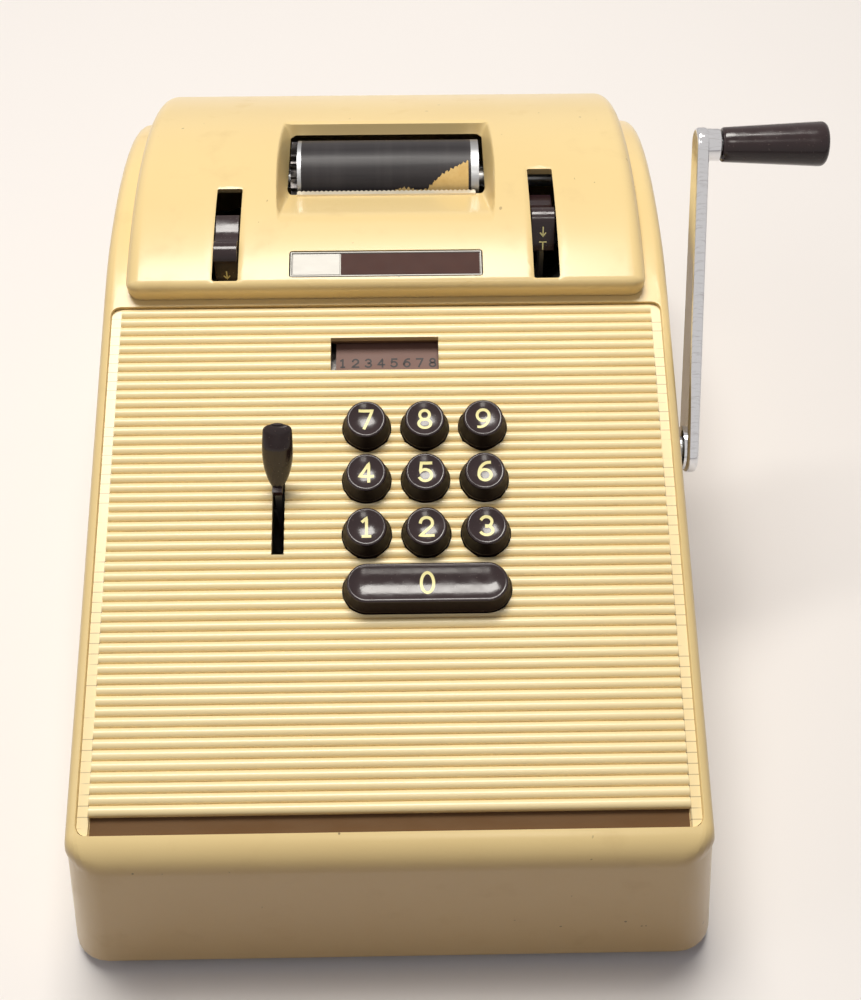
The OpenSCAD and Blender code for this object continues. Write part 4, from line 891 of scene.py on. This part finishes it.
plate_enamel, skin, at = new_finish("plate_enamel", Specular_IOR_Level=0.12)
tint(cloudy(at, 0.006, 4.0), srgb(68, 45, 40), srgb(84, 58, 51)).into(skin["Base Color"])
(cloudy(at, 0.003) * 0.2 + 0.5).into(skin["Roughness"])
relief(cloudy(at, 0.0006), 0.000008, skin)
plate_metal, skin, at = new_finish("plate_metal", Metallic=1.0)
brushed = cloudy(stretched(at, 1, 30, 30), 0.006, 4.0)
tint(brushed, srgb(136, 134, 130), srgb(158, 156, 151)).into(skin["Base Color"])
(brushed * 0.2 + 0.46).into(skin["Roughness"])
relief(brushed, 0.00002, skin)


def curved_bar(x0, x1, s0, s1, low, high, edge):
    """A bar lying on the hood's arch with a chamfered upper edge."""
    rings = []
    for h, inset in ((low, 0.0), (high - edge, 0.0), (high, edge)):
        p0, p1, q0, q1 = x0 + inset, x1 - inset, s0 + inset, s1 - inset
        rings.append([on_hood(p, q, h) for p, q in ((p0, q0), (p1, q0), (p1, q1), (p0, q1))])
    return solid(rings)


base = (-32.5, 32.5, -5, 5, -1.2, -0.55, 0.1)
border = [(-32.5, 32.5, -5, -4.3), (-32.5, 32.5, 4.3, 5),
          (-32.5, -31.8, -5, 5), (31.8, 32.5, -5, 5)]
bright_third = (-31.6, -15.6, -4.2, 4.2, -0.6, -0.3, 0.1)
bars = [base] + [(*bar, -0.6, -0.1, 0.2) for bar in border] + [bright_third]
new_piece("plate_frame", joined(*(curved_bar(*bar) for bar in bars)), plate_metal, "chassis",
          ["name_plate"], sharp=20)
new_piece("plate_field", curved_bar(-15.3, 31.7, -4.2, 4.2, -0.6, -0.32, 0.06), plate_enamel,
          "chassis", sharp=20)


# Control levers: brown thumb pieces moulded round flat steel strips that swing on a shaft under
# the hood. Each has a lobe and a heel with a saddle for the thumb between, and a pale arrow on
# its front.

shaft_y, shaft_z, hub_r = 24, 92, 6
thumb_front, thumb_foot = -12.4, 30.3


def on_lever(x0, degrees):
    """Maps points of an upright lever, from its shaft, to the machine with the lever swung back."""
    a = radians(degrees)
    return lambda x, y, z: (x0 + x, shaft_y + y * cos(a) + z * sin(a),
                            shaft_z - y * sin(a) + z * cos(a))


def bevelled(piece, width):
    how = piece.modifiers.new("edge", "BEVEL")
    how.width = width / 1000
    how.segments = 3
    how.limit_method = "ANGLE"
    how.angle_limit = radians(50)
    settle(piece)
    even_shading(piece, 40)


saddle = [(thumb_front, thumb_foot), (-11.95, 38.0)]
saddle += [(-7.3 + 4.5 * cos(radians(a)), 39.8 + 4.5 * sin(radians(a)))
           for a in range(175, 54, -15)]
saddle += [(-1.3 + 9 * sin(radians(a)), 51.3 - 9 * cos(radians(a))) for a in range(-24, 31, 9)]
saddle += [(6.2 + 3 * cos(radians(a)), 41.3 + 3 * sin(radians(a))) for a in range(75, -1, -15)]
saddle += [(9.2, 35.9), (-5.8, thumb_foot)]
strip = [(-5, 0), (5, 0), (6.2, 37.3), (-8.8, 31.7)]
hub = [(hub_r * sin(2 * pi * k / 40), hub_r * cos(2 * pi * k / 40)) for k in range(40)]
arrow = [[(0, 0.5), (0, -0.5)], [(-0.42, -0.12), (0, -0.5), (0.42, -0.12)]]
letter = [[(-0.5, 0.5), (0.5, 0.5)], [(0, 0.5), (0, -0.5)]]
for name, x0, degrees in (("left", -54.4, 0), ("right", 54.4, 23)):
    to_lever = on_lever(x0, degrees)
    body, node = name + "_control", name + "_control_lever"

    def slab(outline, *levels):
        return solid([[to_lever(x, p, q) for p, q in outline] for x in levels])

    def on_face(low):
        """Puts a drawing on the thumb's front, its middle low above the thumb's foot."""
        return lambda p, q: to_lever(p, thumb_front + 0.45 * (low + q) / 7.7 - 0.06,
                                     thumb_foot + low + q)

    thumb = new_piece(name + "_thumb", slab(saddle, -4, 4), brown_plastic, body,
                      [node], sharp=60)
    bevelled(thumb, 0.55)
    new_piece(name + "_lever_strip", joined(slab(strip, -0.8, 0.8), slab(hub, -4, -3.6, 3.6, 4)),
              plain_steel, body)
    drawn = [stroked(arrow, 2.2, 3.2, 0.42, on_face(6.8 if degrees else 4.4))]
    if degrees:
        drawn.append(stroked(letter, 2.2, 2.6, 0.45, on_face(1.9)))
    new_piece(name + "_lever_mark", joined(*drawn), numeral_plastic, body,
              closed=False)


# Crank: a chromed arm, broad at the hub and narrow at the tip, keyed to the shaft by a flush
# screw. A collar on its tip carries the spindle of a tapered brown grip that turns freely.

bright_steel, skin, at = new_finish("bright_steel", Metallic=1.0)
scuffs = step(cloudy(stretched(at, 1, 8, 1), 0.004, 5.0), 0.5, 0.8)
tint(scuffs, srgb(228, 229, 232), srgb(206, 205, 206)).into(skin["Base Color"])
(scuffs * 0.1 + cloudy(at, 0.02) * 0.05 + 0.06).into(skin["Roughness"])
relief(cloudy(at, 0.009), 0.00001, skin)

crank_lean, arm_x0, arm_x1 = radians(36.6), 101.5565, 105.5565
arm_long, arm_hub_r, arm_tip_r, arm_edge_r, screw_hole_r = 101.6, 8.5, 5.6, 1.1, 5.25


def on_crank(x, p, q):
    """A machine point on the arm: p across it and q along it from the crank's axis."""
    return (x, crank_axis[0] + p * cos(crank_lean) + q * sin(crank_lean),
            crank_axis[1] - p * sin(crank_lean) + q * cos(crank_lean))


def arm_outline(inset):
    """The arm seen from the side, drawn in by inset: two arcs joined by straight flanks."""
    hub_r, tip_r = arm_hub_r - inset, arm_tip_r - inset
    splay = asin((hub_r - tip_r) / arm_long)
    ring = []
    for k in range(25):
        a = splay + (pi - 2 * splay) * k / 24
        ring.append((tip_r * cos(a), arm_long + tip_r * sin(a)))
    for k in range(25):
        a = pi - splay + (pi + 2 * splay) * k / 24
        ring.append((hub_r * cos(a), hub_r * sin(a)))
    return ring


def turned_part(section, y, z):
    return solid([ring_about(x, y, z, r) for x, r in section])


tip = on_crank(0, 0, arm_long)[1:]
edge = [(arm_edge_r * (1 - sin(radians(a))), arm_edge_r * (1 - cos(radians(a))))
        for a in (90, 67, 45, 22, 0)]
edges = [(arm_x0 + x, inset) for x, inset in edge]
edges += [(arm_x1 - x, inset) for x, inset in reversed(edge)]
arm = new_piece("chromed_arm", solid([[on_crank(x, p, q) for p, q in arm_outline(inset)]
                                      for x, inset in edges]),
                bright_steel, "crank", ["crank_arm"], sharp=50)
open_up(arm, ring_about(arm_x1, *crank_axis, screw_hole_r, 32), (1, 0, 0), 0.5)
even_shading(arm, 40)
boss = [(arm_x0 - 1.05, 7.1), (arm_x0 - 0.85, 7.5), (arm_x0 + 0.5, 7.5)]
new_piece("arm_boss", turned_part(boss, *crank_axis), bright_steel, "crank",
          sharp=50)
collar = [(arm_x1 - 1, 5.2), (arm_x1 + 3.5, 5.2), (arm_x1 + 3.9, 5.08), (arm_x1 + 4.1, 4.7)]
new_piece("grip_collar", turned_part(collar, *tip), bright_steel, "crank",
          sharp=50)
dress(bright_steel, "crank_screw", "grip_spindle")

grip_x0 = arm_x1 + 4.5
section = [(2.6, 0), (4.6, 0), (5.1, 0.12), (5.45, 0.45), (5.6, 0.9)]
section += [(5.6 + 1.6 * k / 10, 0.9 + 31.6 * k / 10) for k in range(1, 11)]
section += [(5.2 + 2 * sin(radians(a)), 32.5 + 2 * cos(radians(a))) for a in (75, 60, 45, 30, 15)]
section += [(3.6, 34.72), (1.8, 34.93), (0.02, 35.0)]
new_piece("tapered_grip", turned_part([(grip_x0 + x, r) for r, x in section], *tip), brown_plastic,
          "grip", ["crank_grip"], sharp=45)


# Studio: a table top under one soft light above and behind the machine and two weak ones, with a
# dim fill from the room. The camera and mirrors see table and room pale; the camera stands in
# front of the machine and looks down on it.

def looked_at(wire):
    """1 where the camera, a mirror or a glass looks at the surface, 0 where it only sends light
    on."""
    rays = [wire.node("LightPath", {}, {}, out="Is %s Ray" % kind)
            for kind in ("Camera", "Glossy", "Transmission")]
    return rays[0] + rays[1] + rays[2]


table, skin, at = new_finish("table_top", Roughness=0.6)
pale = tint(cloudy(at, 0.5), srgb(236, 231, 226), srgb(243, 239, 234))
tint(looked_at(at), srgb(142, 118, 100), pale).into(skin["Base Color"])
mesh = bpy.data.meshes.new("table_top")
mesh.from_pydata([(-4, -4, 0), (4, -4, 0), (4, 4, 0), (-4, 4, 0)], [], [(0, 1, 2, 3)])
mesh.materials.append(table)
floor = bpy.data.objects.new("table_top", mesh)
bpy.context.scene.collection.objects.link(floor)


def soft_light(name, spot, aim, wide, long, power, colour):
    lamp = bpy.data.lights.new(name, "AREA")
    lamp.shape = "RECTANGLE"
    lamp.size, lamp.size_y, lamp.energy, lamp.color = wide, long, power, colour
    holder = bpy.data.objects.new(name, lamp)
    holder.location = spot
    holder.rotation_euler = (Vector(aim) - Vector(spot)).to_track_quat("-Z", "Y").to_euler()
    bpy.context.scene.collection.objects.link(holder)


soft_light("sky_panel", (-0.12, 0.36, 1.6), (0.0, -0.02, 0.08), 0.8, 0.55, 25.5,
           (1.0, 0.965, 0.91))
soft_light("front_panel", (0.1, -0.75, 1.5), (0.0, -0.05, 0.08), 0.3, 0.3, 1.8, (1.0, 0.95, 0.88))
soft_light("side_panel", (-1.3, -0.2, 1.0), (0.0, 0.0, 0.08), 0.8, 0.8, 2.0, (1.0, 0.98, 0.95))

world = bpy.data.worlds.new("room")
world.use_nodes = True
sky = world.node_tree.nodes
ray = Wire(world.node_tree, sky.new("ShaderNodeTexCoord").outputs["Generated"])
height = ray.node("SeparateXYZ", {}, {0: ray}, out=2)
fill = tint(step(height, 0.0, 0.7), (0.18, 0.153, 0.13, 1.0), (0.083, 0.09, 0.13, 1.0))
backdrop = tint(looked_at(ray), fill, (0.72, 0.69, 0.67, 1.0))
backdrop.into(sky["Background"].inputs["Color"])
bpy.context.scene.world = world
bpy.context.scene.view_settings.view_transform = "Standard"

lens = bpy.data.cameras.new("camera")
lens.lens = 54
lens.sensor_width = 36
lens.sensor_fit = "AUTO"
camera = bpy.data.objects.new("camera", lens)
camera.matrix_world = Matrix(((0.999815, 0.012526, -0.01461, -0.0136453),
                              (-0.018855, 0.789458, -0.613514, -0.342652),
                              (0.003849, 0.613676, 0.789548, 0.484058),
                              (0.0, 0.0, 0.0, 1.0)))
bpy.context.scene.collection.objects.link(camera)
bpy.context.scene.camera = camera
